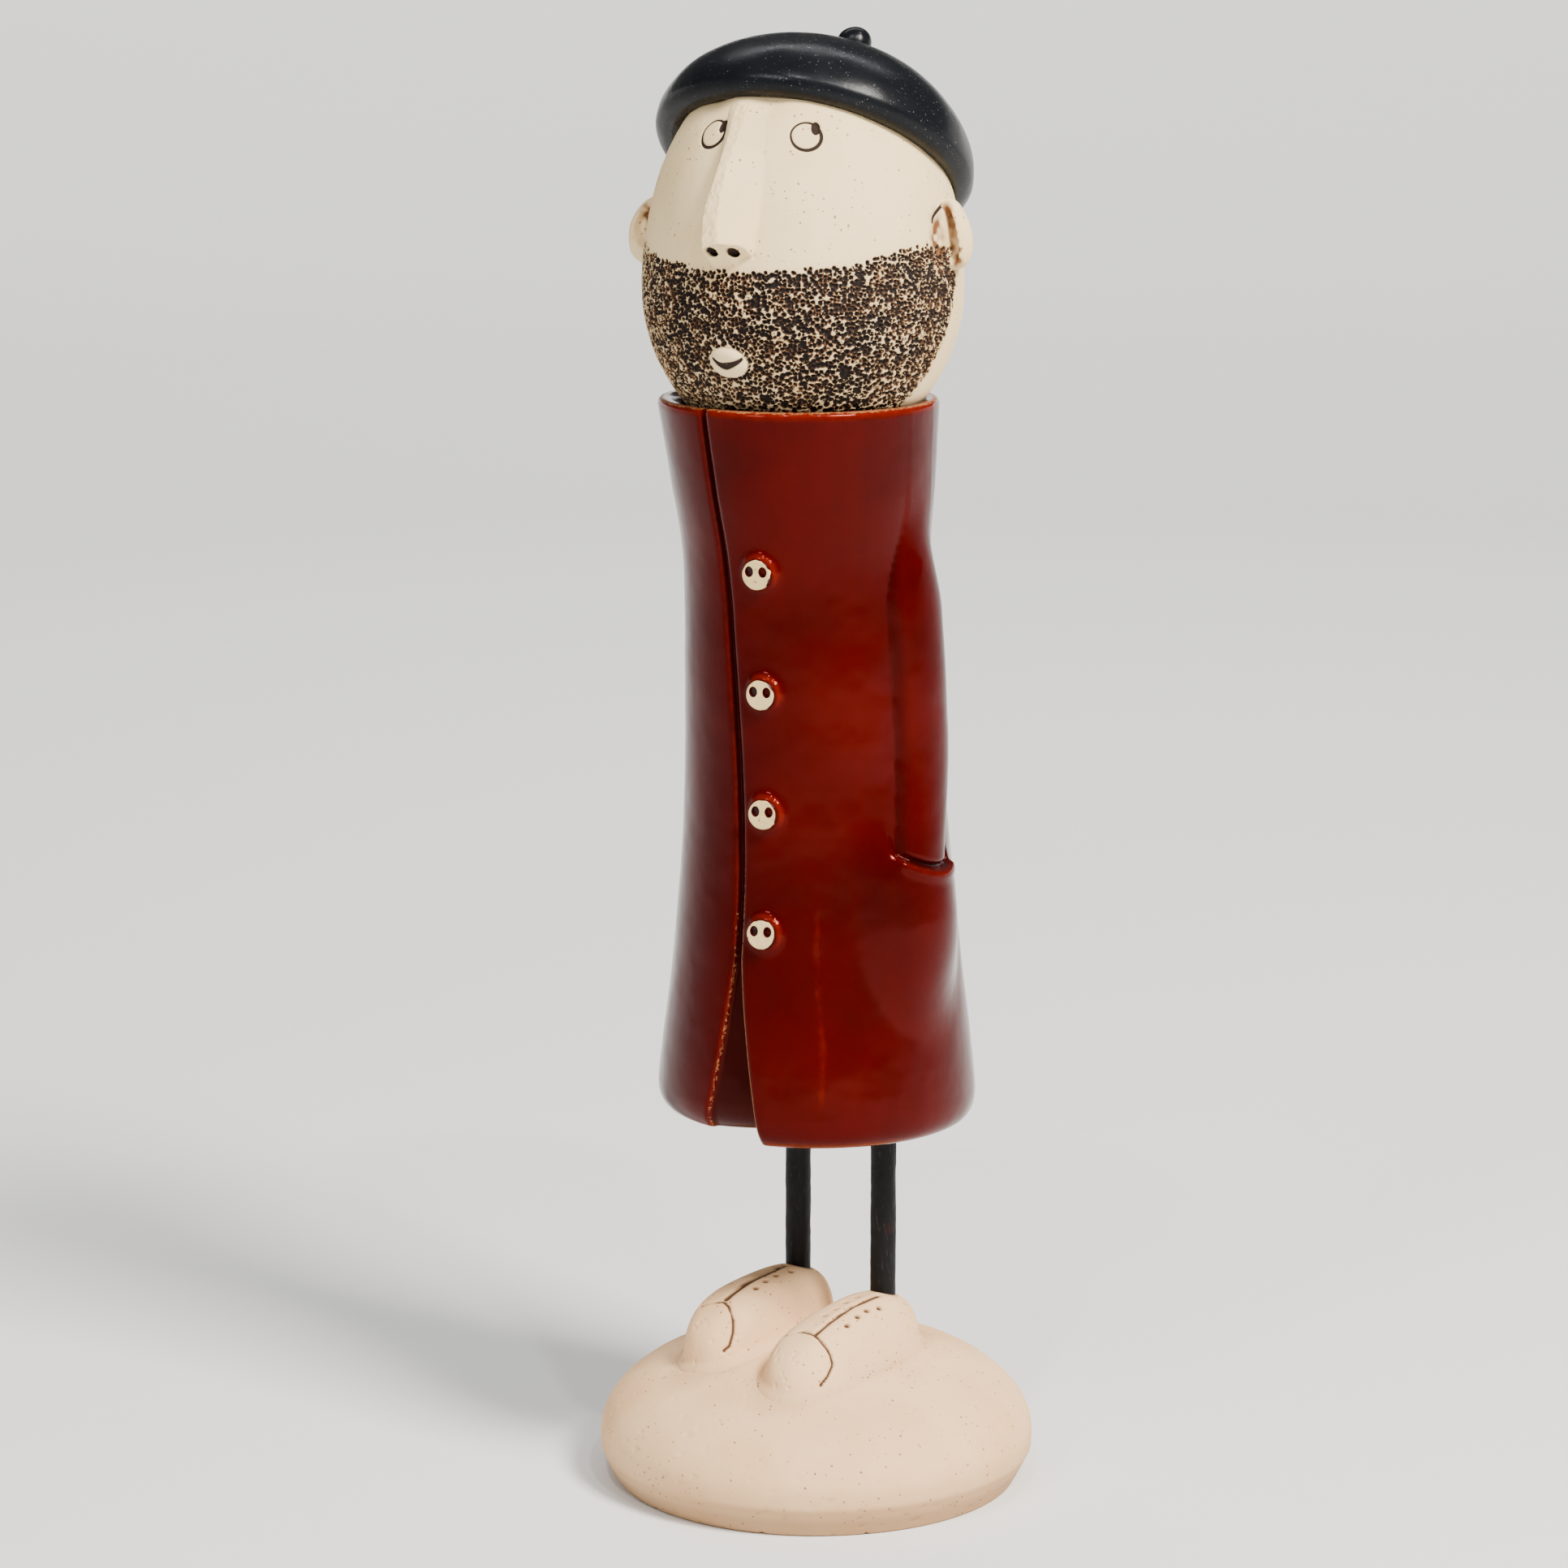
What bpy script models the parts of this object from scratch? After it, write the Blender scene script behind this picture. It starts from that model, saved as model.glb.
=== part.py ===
"""Ceramic figurine: a bearded man in a long red coat and a beret, standing on two iron rods.

The pebble-shaped base carries two clay shoes. An iron rod stands in each shoe and holds the
coat, which is a slab of clay rolled into a tube whose front edges lap. The egg-shaped head
sits in the collar, and the beret sits on the head.

Frame: metres, +Z up, the base's foot on z = 0, centred on the Z axis. The coat's lapped edge
faces -Y, and the figure's left side is +X. An angle called turn is 0 at -Y and grows towards +X.
"""
import math

import bmesh
import bpy
from mathutils import Matrix, Vector

# Gap left between two pieces that touch
CLEARANCE = 0.0003

# How far a cutting shape reaches past the surface that it opens
OVERCUT = 0.0020

# Base, an oval pebble cut flat at its foot
BASE_RADIUS = 0.0600
BASE_FOOT_RADIUS = 0.0552
BASE_RIDGE_HEIGHT = 0.0120
BASE_HEIGHT = 0.0396
BASE_FULLNESS = 0.90

# Shoes, raised out of the base
SHOE_LENGTH = 0.0590
SHOE_WIDTH = 0.0255
SHOE_TOP = 0.0530
RIGHT_SHOE_LIFT = 0.0020
SHOE_SUNK_DEPTH = 0.0250
LEFT_SHOE_TOE_DROP = 0.0060
RIGHT_SHOE_TOE_DROP = 0.0028
RIGHT_SHOE_SHORTER = 0.0028
SHOE_HEEL_BEHIND_LEG = 0.0115

# Legs, round iron rod
LEG_DIAMETER = 0.0072
LEG_SPACING = 0.0298
LEG_SETBACK = 0.0107
LEG_FOOT_HEIGHT = 0.0150

# Coat, a rolled slab
COAT_BOTTOM = 0.1030
COAT_TOP = 0.2996
COAT_WALL = 0.0045
HEM_RADIUS = 0.0434
SKIRT_RADIUS = 0.0389
HIP_RADIUS = 0.0355
CHEST_RADIUS = 0.0341
WAIST_RADIUS = 0.0334
SHOULDER_RADIUS = 0.0355
COLLAR_RADIUS = 0.0377
HEM_ROUNDING = 0.0045
RIM_ROUNDING = 0.0016
COLLAR_LEAN_FORWARD = 0.0049
COLLAR_LEAN_RIGHT = 0.0028
LEAN_START_HEIGHT = 0.1500

# Lapped front edge: a narrow groove that opens into a wide fold towards the hem
GROOVE_WIDTH = 0.0022
GROOVE_DEPTH = 0.0024
GROOVE_TURN_AT_COLLAR = math.radians(-4.0)
GROOVE_TURN_AT_FOLD = math.radians(4.6)
FOLD_HEIGHT = 0.0500
FOLD_WIDTH = 0.0175
FOLD_DEPTH_AT_EDGE = 0.0052
FOLD_DEPTH_AT_CREASE = 0.0020
LAP_THICKNESS = 0.0042
CREASE_SIDE_RISE = 0.0028
FOLD_RISE = 0.0014

# Floor of clay inside the coat, which the rods hold
SHELF_HEIGHT = 0.0480
SHELF_THICKNESS = 0.0120
SHELF_SOCKET_DEPTH = 0.0090

# Sleeves, which run down into the pockets
ARMS_TURN = math.radians(-6)
SLEEVE_HALF_TURN = math.radians(99)
WRIST_HALF_TURN = math.radians(92)
SLEEVE_HALF_WIDTH = 0.0124
SLEEVE_PROUD = 0.0056
WRIST_HALF_WIDTH = 0.0088
SLEEVE_TOP = 0.2860
SLEEVE_BOTTOM = 0.1680
POCKET_HEIGHT = 0.1640
POCKET_HALF_HEIGHT = 0.0150
POCKET_HALF_WIDTH = 0.0150
POCKET_PROUD = 0.0080

# Buttons down the flap
BUTTON_COUNT = 4
BUTTON_DIAMETER = 0.0080
BUTTON_THICKNESS = 0.0032
BUTTON_SEAT_DEPTH = 0.0011
BUTTON_ROUNDING = 0.0008
BUTTON_TURN = math.radians(16.2)
TOP_BUTTON_HEIGHT = 0.2565
BUTTON_PITCH = 0.0320
BUTTON_HOLE_DIAMETER = 0.0018
BUTTON_HOLE_SPACING = 0.0038
BUTTON_HOLE_RISE = 0.0008
BUTTON_HOLE_DEPTH = 0.0014

# Head, an egg with its blunt end down
HEAD_RADIUS = 0.0428
HEAD_CROWN = 0.0640
HEAD_CHIN = 0.0450
HEAD_TURN = math.radians(15)
HEAD_SHIFT_LEFT = 0.0011
HEAD_SHIFT_BACK = 0.0009
EYE_HEIGHT = 0.0422
EYE_HALF_TURN = math.radians(23.6)
EYE_MIDDLE_TURN = math.radians(1.7)
EYE_DIAMETER = 0.0084
EYE_LINE = 0.0007
PUPIL_DIAMETER = 0.0026
PUPIL_DEPTH = 0.0012
NOSE_TOP = 0.0495
NOSE_TOP_TURN = math.radians(-15)
NOSE_TIP_TURN = math.radians(-3)
NOSE_BOTTOM = 0.0125
NOSE_PROUD = 0.0085
NOSE_HALF_WIDTH = 0.0062
NOSE_ROOT_DEPTH = 0.0030
NOSTRIL_DIAMETER = 0.0024
NOSTRIL_SPACING = 0.0058
NOSTRIL_DEPTH = 0.0030
MOUTH_HEIGHT = -0.0152
MOUTH_WIDTH = 0.0112
MOUTH_TALL = 0.0090
MOUTH_PROUD = 0.0016
MOUTH_LINE = 0.0007
MOUTH_LINE_DEPTH = 0.0006
MOUTH_CURL = 0.0018
EAR_HEIGHT = 0.0140
EAR_MIDDLE_TURN = math.radians(3.5)
EAR_TALL = 0.0175
LEFT_EAR_PROUD = 0.0056
RIGHT_EAR_PROUD = 0.0080
EAR_THICKNESS = 0.0070
EAR_HALF_TURN = math.radians(90)

# Beret, tilted back on the head
BERET_RADIUS = 0.0434
BERET_DOME = 0.0294
BERET_RIM_DEPTH = 0.0085
BERET_TAPER = 1.28
BERET_LEAN = 0.0024
BERET_TILT = math.radians(32)
BERET_TURN = math.radians(14.5)
BERET_HEIGHT = 0.0347
BERET_SETBACK = 0.0090
BERET_SIDE_SHIFT = -0.0010
BERET_STUB_RADIUS = 0.0046
BERET_STUB_HEIGHT = 0.0046
BERET_STUB_CLEAR = 0.0004
BERET_STUB_TO_SIDE = 0.0080
BERET_STUB_TO_FRONT = 0.0080

# Facets round each turned shape
BASE_FACETS = 48
COAT_FACETS = 41
HEAD_FACETS = 36
BERET_FACETS = 36
LEG_FACETS = 16
SLEEVE_FACETS = 12
BUTTON_FACETS = 16
SHOE_FACETS = 18
SMALL_FACETS = 10

COAT_HEIGHT = COAT_TOP - COAT_BOTTOM
SHELF_UNDERSIDE = COAT_BOTTOM + SHELF_HEIGHT
SHELF_TOP = SHELF_UNDERSIDE + SHELF_THICKNESS


def clear_scene():
    """Remove every object that the scene starts with."""
    for item in list(bpy.data.objects):
        bpy.data.objects.remove(item)


def smoothstep(value):
    """Ease from 0 to 1, flat at both ends."""
    value = min(max(value, 0.0), 1.0)
    return value * value * (3.0 - 2.0 * value)


def mix(start, end, share):
    """The value a share of the way from start to end."""
    return start + (end - start) * share


def smooth_curve(points, place):
    """Read a smooth curve through (place, value) points, in rising order, at one place."""
    if place <= points[0][0]:
        return points[0][1]
    if place >= points[-1][0]:
        return points[-1][1]
    last = len(points) - 1
    index = next(i for i in range(last) if points[i + 1][0] > place)
    slopes = []
    for corner in (index, index + 1):
        before = points[max(corner - 1, 0)]
        after = points[min(corner + 1, last)]
        slopes.append((after[1] - before[1]) / (after[0] - before[0]))
    start, end = points[index], points[index + 1]
    span = end[0] - start[0]
    share = (place - start[0]) / span
    cubed, squared = share ** 3, share ** 2
    value = (2 * cubed - 3 * squared + 1) * start[1] + (3 * squared - 2 * cubed) * end[1]
    return value + span * ((cubed - 2 * squared + share) * slopes[0] + (cubed - squared) * slopes[1])


def outward(turn):
    """Level unit vector that points away from the Z axis at a turn."""
    return Vector((math.sin(turn), -math.cos(turn), 0.0))


def clay(name, colour, roughness, metallic=0.0, coat=0.0):
    """Principled material with the piece's colour and finish."""
    material = bpy.data.materials.new(name)
    material.use_nodes = True
    shader = material.node_tree.nodes["Principled BSDF"]
    shader.inputs["Base Color"].default_value = (*colour, 1.0)
    shader.inputs["Roughness"].default_value = roughness
    shader.inputs["Metallic"].default_value = metallic
    shader.inputs["Coat Weight"].default_value = coat
    return material


def add_object(name, mesh, material=None):
    """Put a mesh in the scene under a name."""
    item = bpy.data.objects.new(name, mesh)
    bpy.context.scene.collection.objects.link(item)
    if material is not None:
        mesh.materials.append(material)
        mesh.shade_smooth()
        mesh.set_sharp_from_angle(angle=math.radians(40))
    return item


def loft_mesh(name, rings):
    """Closed mesh through rings of points; a ring of one point closes an end in a tip."""
    shell = bmesh.new()
    rows = [[shell.verts.new(point) for point in ring] for ring in rings]
    for lower, upper in zip(rows, rows[1:]):
        count = max(len(lower), len(upper))
        for i in range(count):
            j = (i + 1) % count
            if len(lower) == 1:
                shell.faces.new((lower[0], upper[j], upper[i]))
            elif len(upper) == 1:
                shell.faces.new((lower[i], lower[j], upper[0]))
            else:
                shell.faces.new((lower[i], lower[j], upper[j], upper[i]))
    for row in (rows[0], rows[-1]):
        if len(row) > 1:
            shell.faces.new(row)
    bmesh.ops.recalc_face_normals(shell, faces=shell.faces)
    bmesh.ops.triangulate(shell, faces=shell.faces)
    mesh = bpy.data.meshes.new(name)
    shell.to_mesh(mesh)
    shell.free()
    return mesh


def turned_mesh(name, profile, facets, place=Matrix()):
    """Revolve an outline of (radius, height) about Z, then put it in place."""
    rings = []
    for radius, height in profile:
        if radius == 0.0:
            rings.append([place @ Vector((0.0, 0.0, height))])
            continue
        turns = (math.tau * i / facets for i in range(facets))
        rings.append([place @ (outward(turn) * radius + Vector((0.0, 0.0, height))) for turn in turns])
    return loft_mesh(name, rings)


def rod_mesh(name, radius, bottom, top, facets, place=Matrix()):
    """Plain round rod along Z."""
    return turned_mesh(name, [(0.0, bottom), (radius, bottom), (radius, top), (0.0, top)], facets, place)


def ball_mesh(name, size, facets, place=Matrix()):
    """Ellipsoid whose three full widths are given."""
    rows = facets // 2
    profile = [(0.0, -0.5)]
    for i in range(1, rows):
        rise = math.pi * (i / rows - 0.5)
        profile.append((0.5 * math.cos(rise), 0.5 * math.sin(rise)))
    profile.append((0.0, 0.5))
    return turned_mesh(name, profile, facets, place @ Matrix.Diagonal((*size, 1.0)))


def ring_mesh(name, radius, line, facets, place=Matrix()):
    """Thin ring of round section, lying level."""
    shell = bmesh.new()
    sides = 6
    rows = []
    for i in range(facets):
        turn = math.tau * i / facets
        row = []
        for j in range(sides):
            side = math.tau * j / sides
            reach = radius + line * math.cos(side)
            row.append(shell.verts.new(place @ (outward(turn) * reach + Vector((0, 0, line * math.sin(side))))))
        rows.append(row)
    for i, row in enumerate(rows):
        following = rows[(i + 1) % facets]
        for j in range(sides):
            k = (j + 1) % sides
            shell.faces.new((row[j], row[k], following[k], following[j]))
    bmesh.ops.recalc_face_normals(shell, faces=shell.faces)
    mesh = bpy.data.meshes.new(name)
    shell.to_mesh(mesh)
    shell.free()
    return mesh


def combine(target, meshes, operation):
    """Fuse helper shapes to a piece, or cut them out of it."""
    for mesh in meshes:
        helper = add_object(mesh.name, mesh)
        helper.hide_render = True
        helper.display_type = "WIRE"
        modifier = target.modifiers.new(mesh.name, "BOOLEAN")
        modifier.operation = operation
        modifier.solver = "EXACT"
        modifier.object = helper


def surface_frame(point, normal):
    """Frame at a point whose Z axis is the normal and whose Y axis leans up."""
    normal = normal.normalized()
    across = Vector((0.0, 0.0, 1.0)).cross(normal).normalized()
    rise = normal.cross(across)
    frame = Matrix((across, rise, normal)).transposed().to_4x4()
    frame.translation = point
    return frame


# Coat surface
def coat_axis(height):
    """Centre of the coat's section, which leans as it rises."""
    share = max(0.0, (height - LEAN_START_HEIGHT) / (COAT_TOP - LEAN_START_HEIGHT)) ** 1.7
    return Vector((-COLLAR_LEAN_RIGHT * share, -COLLAR_LEAN_FORWARD * share, height))


def coat_radius(height):
    """Outer radius of the coat without its folds."""
    stations = (
        (0.00, HEM_RADIUS - 0.0006),
        (0.04, HEM_RADIUS),
        (0.24, SKIRT_RADIUS),
        (0.44, HIP_RADIUS),
        (0.64, CHEST_RADIUS),
        (0.79, WAIST_RADIUS),
        (0.89, SHOULDER_RADIUS),
        (1.00, COLLAR_RADIUS),
    )
    return smooth_curve(stations, (height - COAT_BOTTOM) / COAT_HEIGHT)


def fold_edges(height):
    """Turns of the crease and of the flap's free edge, which bound the groove and the fold."""
    fold_top = COAT_BOTTOM + FOLD_HEIGHT
    radius = coat_radius(height)
    if height >= fold_top:
        share = smoothstep((height - fold_top) / (COAT_TOP - fold_top))
        middle = mix(GROOVE_TURN_AT_FOLD, GROOVE_TURN_AT_COLLAR, share ** 1.3)
        width = GROOVE_WIDTH
    else:
        share = (fold_top - height) / FOLD_HEIGHT
        middle = GROOVE_TURN_AT_FOLD + math.radians(1.2) * share
        width = mix(GROOVE_WIDTH, FOLD_WIDTH, share ** 1.25)
    half_turn = 0.5 * width / radius
    return middle - half_turn, middle + half_turn


def fold_depths(height):
    """Depth of the groove or fold beside its crease and beside the flap's edge."""
    share = smoothstep((COAT_BOTTOM + FOLD_HEIGHT - height) / FOLD_HEIGHT)
    at_crease = mix(GROOVE_DEPTH, FOLD_DEPTH_AT_CREASE, share)
    at_edge = mix(GROOVE_DEPTH, FOLD_DEPTH_AT_EDGE, share)
    return at_crease, at_edge


def lap_depth(height, turn):
    """How far the second layer of slab stands inward, behind the groove and the fold."""
    crease, edge = fold_edges(height)
    beyond = max(crease - turn, turn - edge, 0.0)
    side = 1.0 - smoothstep((beyond - math.radians(4)) / math.radians(16))
    below_collar = 1.0 - smoothstep((height - COAT_TOP + 0.045) / 0.025)
    return LAP_THICKNESS * side * below_collar


def coat_turns(height):
    """Turns of a ring's points, with four of them on the groove's or fold's borders."""
    crease, edge = fold_edges(height)
    sharp = 0.0003 / coat_radius(height)
    turns = [crease - sharp, crease + sharp, 0.5 * (crease + edge), edge - sharp, edge + sharp]
    plain = COAT_FACETS - len(turns)
    start = turns[-1]
    span = turns[0] + math.tau - start
    turns.extend(start + span * (i + 1) / (plain + 1) for i in range(plain))
    return turns


def hem_shift(height, index, turn):
    """Rise of the hem on the crease side and in the fold; the flap hangs lowest."""
    near_hem = 1.0 - smoothstep((height - COAT_BOTTOM) / 0.030)
    crease, edge = fold_edges(height)
    if 1 <= index <= 3:
        return near_hem * (CREASE_SIDE_RISE + FOLD_RISE * (turn - crease) / (edge - crease))
    behind = crease - turn if index == 0 else math.tau + crease - turn
    return near_hem * CREASE_SIDE_RISE * (1.0 - smoothstep((behind - math.radians(50)) / math.radians(130)))


def outer_ring(height, inset=0.0):
    """Ring of the outer surface, drawn in by the inset at the hem and the rim."""
    radius = coat_radius(height) - inset
    at_crease, at_edge = fold_depths(height)
    depths = [0.0, at_crease, 0.5 * (at_crease + at_edge), at_edge, 0.0]
    ring = []
    for i, turn in enumerate(coat_turns(height)):
        depth = depths[i] if i < len(depths) else 0.0
        point = coat_axis(height) + outward(turn) * (radius - depth)
        ring.append(point + Vector((0.0, 0.0, hem_shift(height, i, turn))))
    return ring


def inner_radius(height):
    """Inner radius of the coat, away from the lap."""
    return coat_radius(height) - COAT_WALL


def inner_ring(height, outset=0.0):
    """Ring of the inner surface, let out by the outset at the hem and the rim."""
    ring = []
    for i, turn in enumerate(coat_turns(height)):
        radius = inner_radius(height) - lap_depth(height, turn) + outset
        point = coat_axis(height) + outward(turn) * radius
        ring.append(point + Vector((0.0, 0.0, hem_shift(height, i, turn))))
    return ring


def span_heights(bottom, top, steps):
    """Evenly spaced heights, ends included."""
    return [mix(bottom, top, i / steps) for i in range(steps + 1)]


def coat_tube_mesh():
    """The rolled slab with its inner floor, as one closed skin."""
    rings = [[coat_axis(SHELF_TOP)]]
    for height in span_heights(SHELF_TOP, COAT_TOP - RIM_ROUNDING, 7):
        rings.append(inner_ring(height))
    rings.append(inner_ring(COAT_TOP, RIM_ROUNDING))
    rings.append(outer_ring(COAT_TOP, RIM_ROUNDING))
    upper_stop = COAT_TOP - RIM_ROUNDING
    lower_stop = COAT_BOTTOM + HEM_ROUNDING
    for height in reversed(span_heights(lower_stop, upper_stop, 18)):
        rings.append(outer_ring(height))
    for step in (1, 2, 3):
        slope = math.radians(90) * step / 3
        drop = HEM_ROUNDING * math.sin(slope)
        inset = 0.6 * HEM_ROUNDING * (1.0 - math.cos(slope))
        rings.append(outer_ring(lower_stop - drop, inset))
    rings.append(inner_ring(COAT_BOTTOM, 0.0005))
    for height in span_heights(COAT_BOTTOM + 0.001, SHELF_UNDERSIDE, 3):
        rings.append(inner_ring(height))
    rings.append([coat_axis(SHELF_UNDERSIDE)])
    return loft_mesh("coat", rings)


def side_ring(side, height, turn, half_width, proud):
    """Ring of a form that grows out of the coat: an arch outside, and its root within the wall."""
    radius = coat_radius(height)
    root = radius - 0.25 * COAT_WALL
    buried = radius - 0.5 * COAT_WALL
    rise = proud + 0.25 * COAT_WALL
    ring = []
    for i in range(SLEEVE_FACETS + 1):
        angle = math.pi * i / SLEEVE_FACETS
        point_turn = ARMS_TURN + side * turn + half_width * math.cos(angle) / radius
        ring.append(coat_axis(height) + outward(point_turn) * (root + rise * math.sin(angle) ** 0.85))
    for share in (-1.0, -0.5, 0.0, 0.5, 1.0):
        point_turn = ARMS_TURN + side * turn + share * half_width / radius
        ring.append(coat_axis(height) + outward(point_turn) * buried)
    return ring


def sleeve_mesh(side):
    """Sleeve that grows out of the shoulder, stands off the coat and narrows to the wrist."""
    rings = []
    steps = 9
    for i in range(steps + 1):
        share = i / steps
        height = mix(SLEEVE_TOP, SLEEVE_BOTTOM, share)
        growth = smoothstep(share / 0.36)
        taper = smoothstep((share - 0.62) / 0.38)
        half_width = mix(SLEEVE_HALF_WIDTH, WRIST_HALF_WIDTH, taper) * mix(0.60, 1.0, growth)
        proud = mix(-0.2 * COAT_WALL, SLEEVE_PROUD, growth) * mix(1.0, 0.9, taper)
        turn = mix(SLEEVE_HALF_TURN, WRIST_HALF_TURN, taper)
        rings.append(side_ring(side, height, turn, half_width, proud))
    return loft_mesh(f"sleeve_{'left' if side > 0 else 'right'}", rings)


def pocket_mesh(side):
    """Pouch that the wrist goes into, open at its lip."""
    rings = []
    steps = 7
    for i in range(steps + 1):
        rise = math.radians(mix(-78, 52, i / steps))
        height = POCKET_HEIGHT + POCKET_HALF_HEIGHT * math.sin(rise)
        girth = math.cos(rise)
        rings.append(side_ring(side, height, WRIST_HALF_TURN, POCKET_HALF_WIDTH * girth, POCKET_PROUD * girth))
    return loft_mesh(f"pocket_{'left' if side > 0 else 'right'}", rings)


def button_frame(index):
    """Frame on the coat's surface under one button, counted from the top."""
    height = TOP_BUTTON_HEIGHT - BUTTON_PITCH * index
    step = 0.001
    lean = (coat_radius(height - step) - coat_radius(height + step)) / (2 * step)
    away = outward(BUTTON_TURN)
    point = coat_axis(height) + away * coat_radius(height)
    return surface_frame(point, away + Vector((0.0, 0.0, lean)))


def leg_places():
    """Level place of each leg with its name and side, the figure's left first."""
    return [("left", 1, 0.5 * LEG_SPACING), ("right", -1, -0.5 * LEG_SPACING)]


def build_coat():
    """Rolled coat with its sleeves and pockets, seats for the buttons and sockets for the rods."""
    coat = add_object("coat", coat_tube_mesh(), clay("red_glaze", (0.28, 0.012, 0.008), 0.12, coat=1.0))
    combine(coat, [sleeve_mesh(side) for side in (1, -1)], "UNION")
    combine(coat, [pocket_mesh(side) for side in (1, -1)], "UNION")
    seats = []
    for index in range(BUTTON_COUNT):
        radius = 0.5 * BUTTON_DIAMETER + CLEARANCE
        seats.append(rod_mesh(f"button_seat_{index + 1}", radius, -BUTTON_SEAT_DEPTH, OVERCUT,
                              BUTTON_FACETS, button_frame(index)))
    combine(coat, seats, "DIFFERENCE")
    sockets = []
    for name, _, place in leg_places():
        radius = 0.5 * LEG_DIAMETER + CLEARANCE
        sockets.append(rod_mesh(f"shelf_socket_{name}", radius, SHELF_UNDERSIDE - OVERCUT,
                                SHELF_UNDERSIDE + SHELF_SOCKET_DEPTH, LEG_FACETS,
                                Matrix.Translation((place, LEG_SETBACK, 0.0))))
    combine(coat, sockets, "DIFFERENCE")


def build_buttons():
    """Clay discs with two thread holes, each in its seat on the flap."""
    bare_clay = clay("button_clay", (0.66, 0.54, 0.36), 0.8)
    for index in range(BUTTON_COUNT):
        place = button_frame(index)
        radius = 0.5 * BUTTON_DIAMETER
        back = CLEARANCE - BUTTON_SEAT_DEPTH
        front = back + BUTTON_THICKNESS
        profile = [(0.0, back), (radius, back)]
        for inset, drop in ((0.0, 1.0), (0.3, 0.3), (1.0, 0.0)):
            profile.append((radius - inset * BUTTON_ROUNDING, front - drop * BUTTON_ROUNDING))
        profile.append((0.0, front))
        name = f"button_{index + 1}"
        button = add_object(name, turned_mesh(name, profile, BUTTON_FACETS, place), bare_clay)
        holes = []
        for side in (-1, 1):
            shift = Matrix.Translation((side * 0.5 * BUTTON_HOLE_SPACING, BUTTON_HOLE_RISE, 0.0))
            holes.append(rod_mesh(f"{name}_hole_{'right' if side > 0 else 'left'}", 0.5 * BUTTON_HOLE_DIAMETER,
                                  front - BUTTON_HOLE_DEPTH, front + OVERCUT, SMALL_FACETS, place @ shift))
        combine(button, holes, "DIFFERENCE")


# Base and shoes
def shoe_mesh(name, place, length, lift, toe_drop):
    """Loaf-shaped shoe with its toe towards -Y."""
    heel = LEG_SETBACK + SHOE_HEEL_BEHIND_LEG
    bottom = SHOE_TOP - SHOE_SUNK_DEPTH
    rings = []
    steps = 12
    for i in range(steps + 1):
        along = -math.cos(math.pi * i / steps) * 0.985
        roundness = (1.0 - abs(along) ** 3.0) ** (1.0 / 2.4)
        toe_share = 0.5 * (1.0 + along)
        half_width = 0.5 * SHOE_WIDTH * roundness * mix(0.90, 1.0, toe_share)
        rise = (SHOE_SUNK_DEPTH - toe_drop * toe_share ** 2.0) * (0.3 + 0.7 * roundness ** 0.8)
        ring = []
        for j in range(SHOE_FACETS // 2 + 1):
            angle = math.pi * j / (SHOE_FACETS // 2)
            across = math.copysign(abs(math.cos(angle)) ** 0.75, math.cos(angle)) * half_width
            up = bottom + lift + rise * math.sin(angle) ** 0.75
            ring.append(Vector((place + across, heel - length * toe_share, up)))
        rings.append(ring)
    return loft_mesh(name, rings)


def build_base():
    """Pebble with both shoes in one piece, and a blind socket for each rod."""
    profile = [(0.0, 0.0), (BASE_FOOT_RADIUS, 0.0)]
    flare = BASE_RADIUS - BASE_FOOT_RADIUS
    for i in range(1, 4):
        angle = math.radians(90) * i / 3
        profile.append((BASE_FOOT_RADIUS + flare * math.sin(angle), BASE_RIDGE_HEIGHT * (1.0 - math.cos(angle))))
    crown = BASE_HEIGHT - BASE_RIDGE_HEIGHT
    steps = 10
    for i in range(1, steps):
        angle = math.radians(90) * i / steps
        reach = BASE_RADIUS * math.cos(angle) ** BASE_FULLNESS
        profile.append((reach, BASE_RIDGE_HEIGHT + crown * math.sin(angle)))
    profile.append((0.0, BASE_HEIGHT))
    base = add_object("base", turned_mesh("base", profile, BASE_FACETS), clay("base_clay", (0.74, 0.60, 0.50), 0.85))
    shapes = {1: (SHOE_LENGTH, 0.0, LEFT_SHOE_TOE_DROP),
              -1: (SHOE_LENGTH - RIGHT_SHOE_SHORTER, RIGHT_SHOE_LIFT, RIGHT_SHOE_TOE_DROP)}
    shoes = [shoe_mesh(f"shoe_{name}", place, *shapes[side]) for name, side, place in leg_places()]
    combine(base, shoes, "UNION")
    sockets = []
    for name, _, place in leg_places():
        sockets.append(rod_mesh(f"base_socket_{name}", 0.5 * LEG_DIAMETER + CLEARANCE,
                                LEG_FOOT_HEIGHT - CLEARANCE, SHOE_TOP + RIGHT_SHOE_LIFT + OVERCUT,
                                LEG_FACETS, Matrix.Translation((place, LEG_SETBACK, 0.0))))
    combine(base, sockets, "DIFFERENCE")


def build_legs():
    """Iron rods from the base's sockets up into the coat's floor."""
    iron = clay("black_iron", (0.02, 0.02, 0.022), 0.6, metallic=0.6)
    top = SHELF_UNDERSIDE + SHELF_SOCKET_DEPTH - CLEARANCE
    for name, _, place in leg_places():
        title = f"leg_{name}"
        add_object(title, rod_mesh(title, 0.5 * LEG_DIAMETER, LEG_FOOT_HEIGHT, top, LEG_FACETS,
                                   Matrix.Translation((place, LEG_SETBACK, 0.0))), iron)


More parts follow.
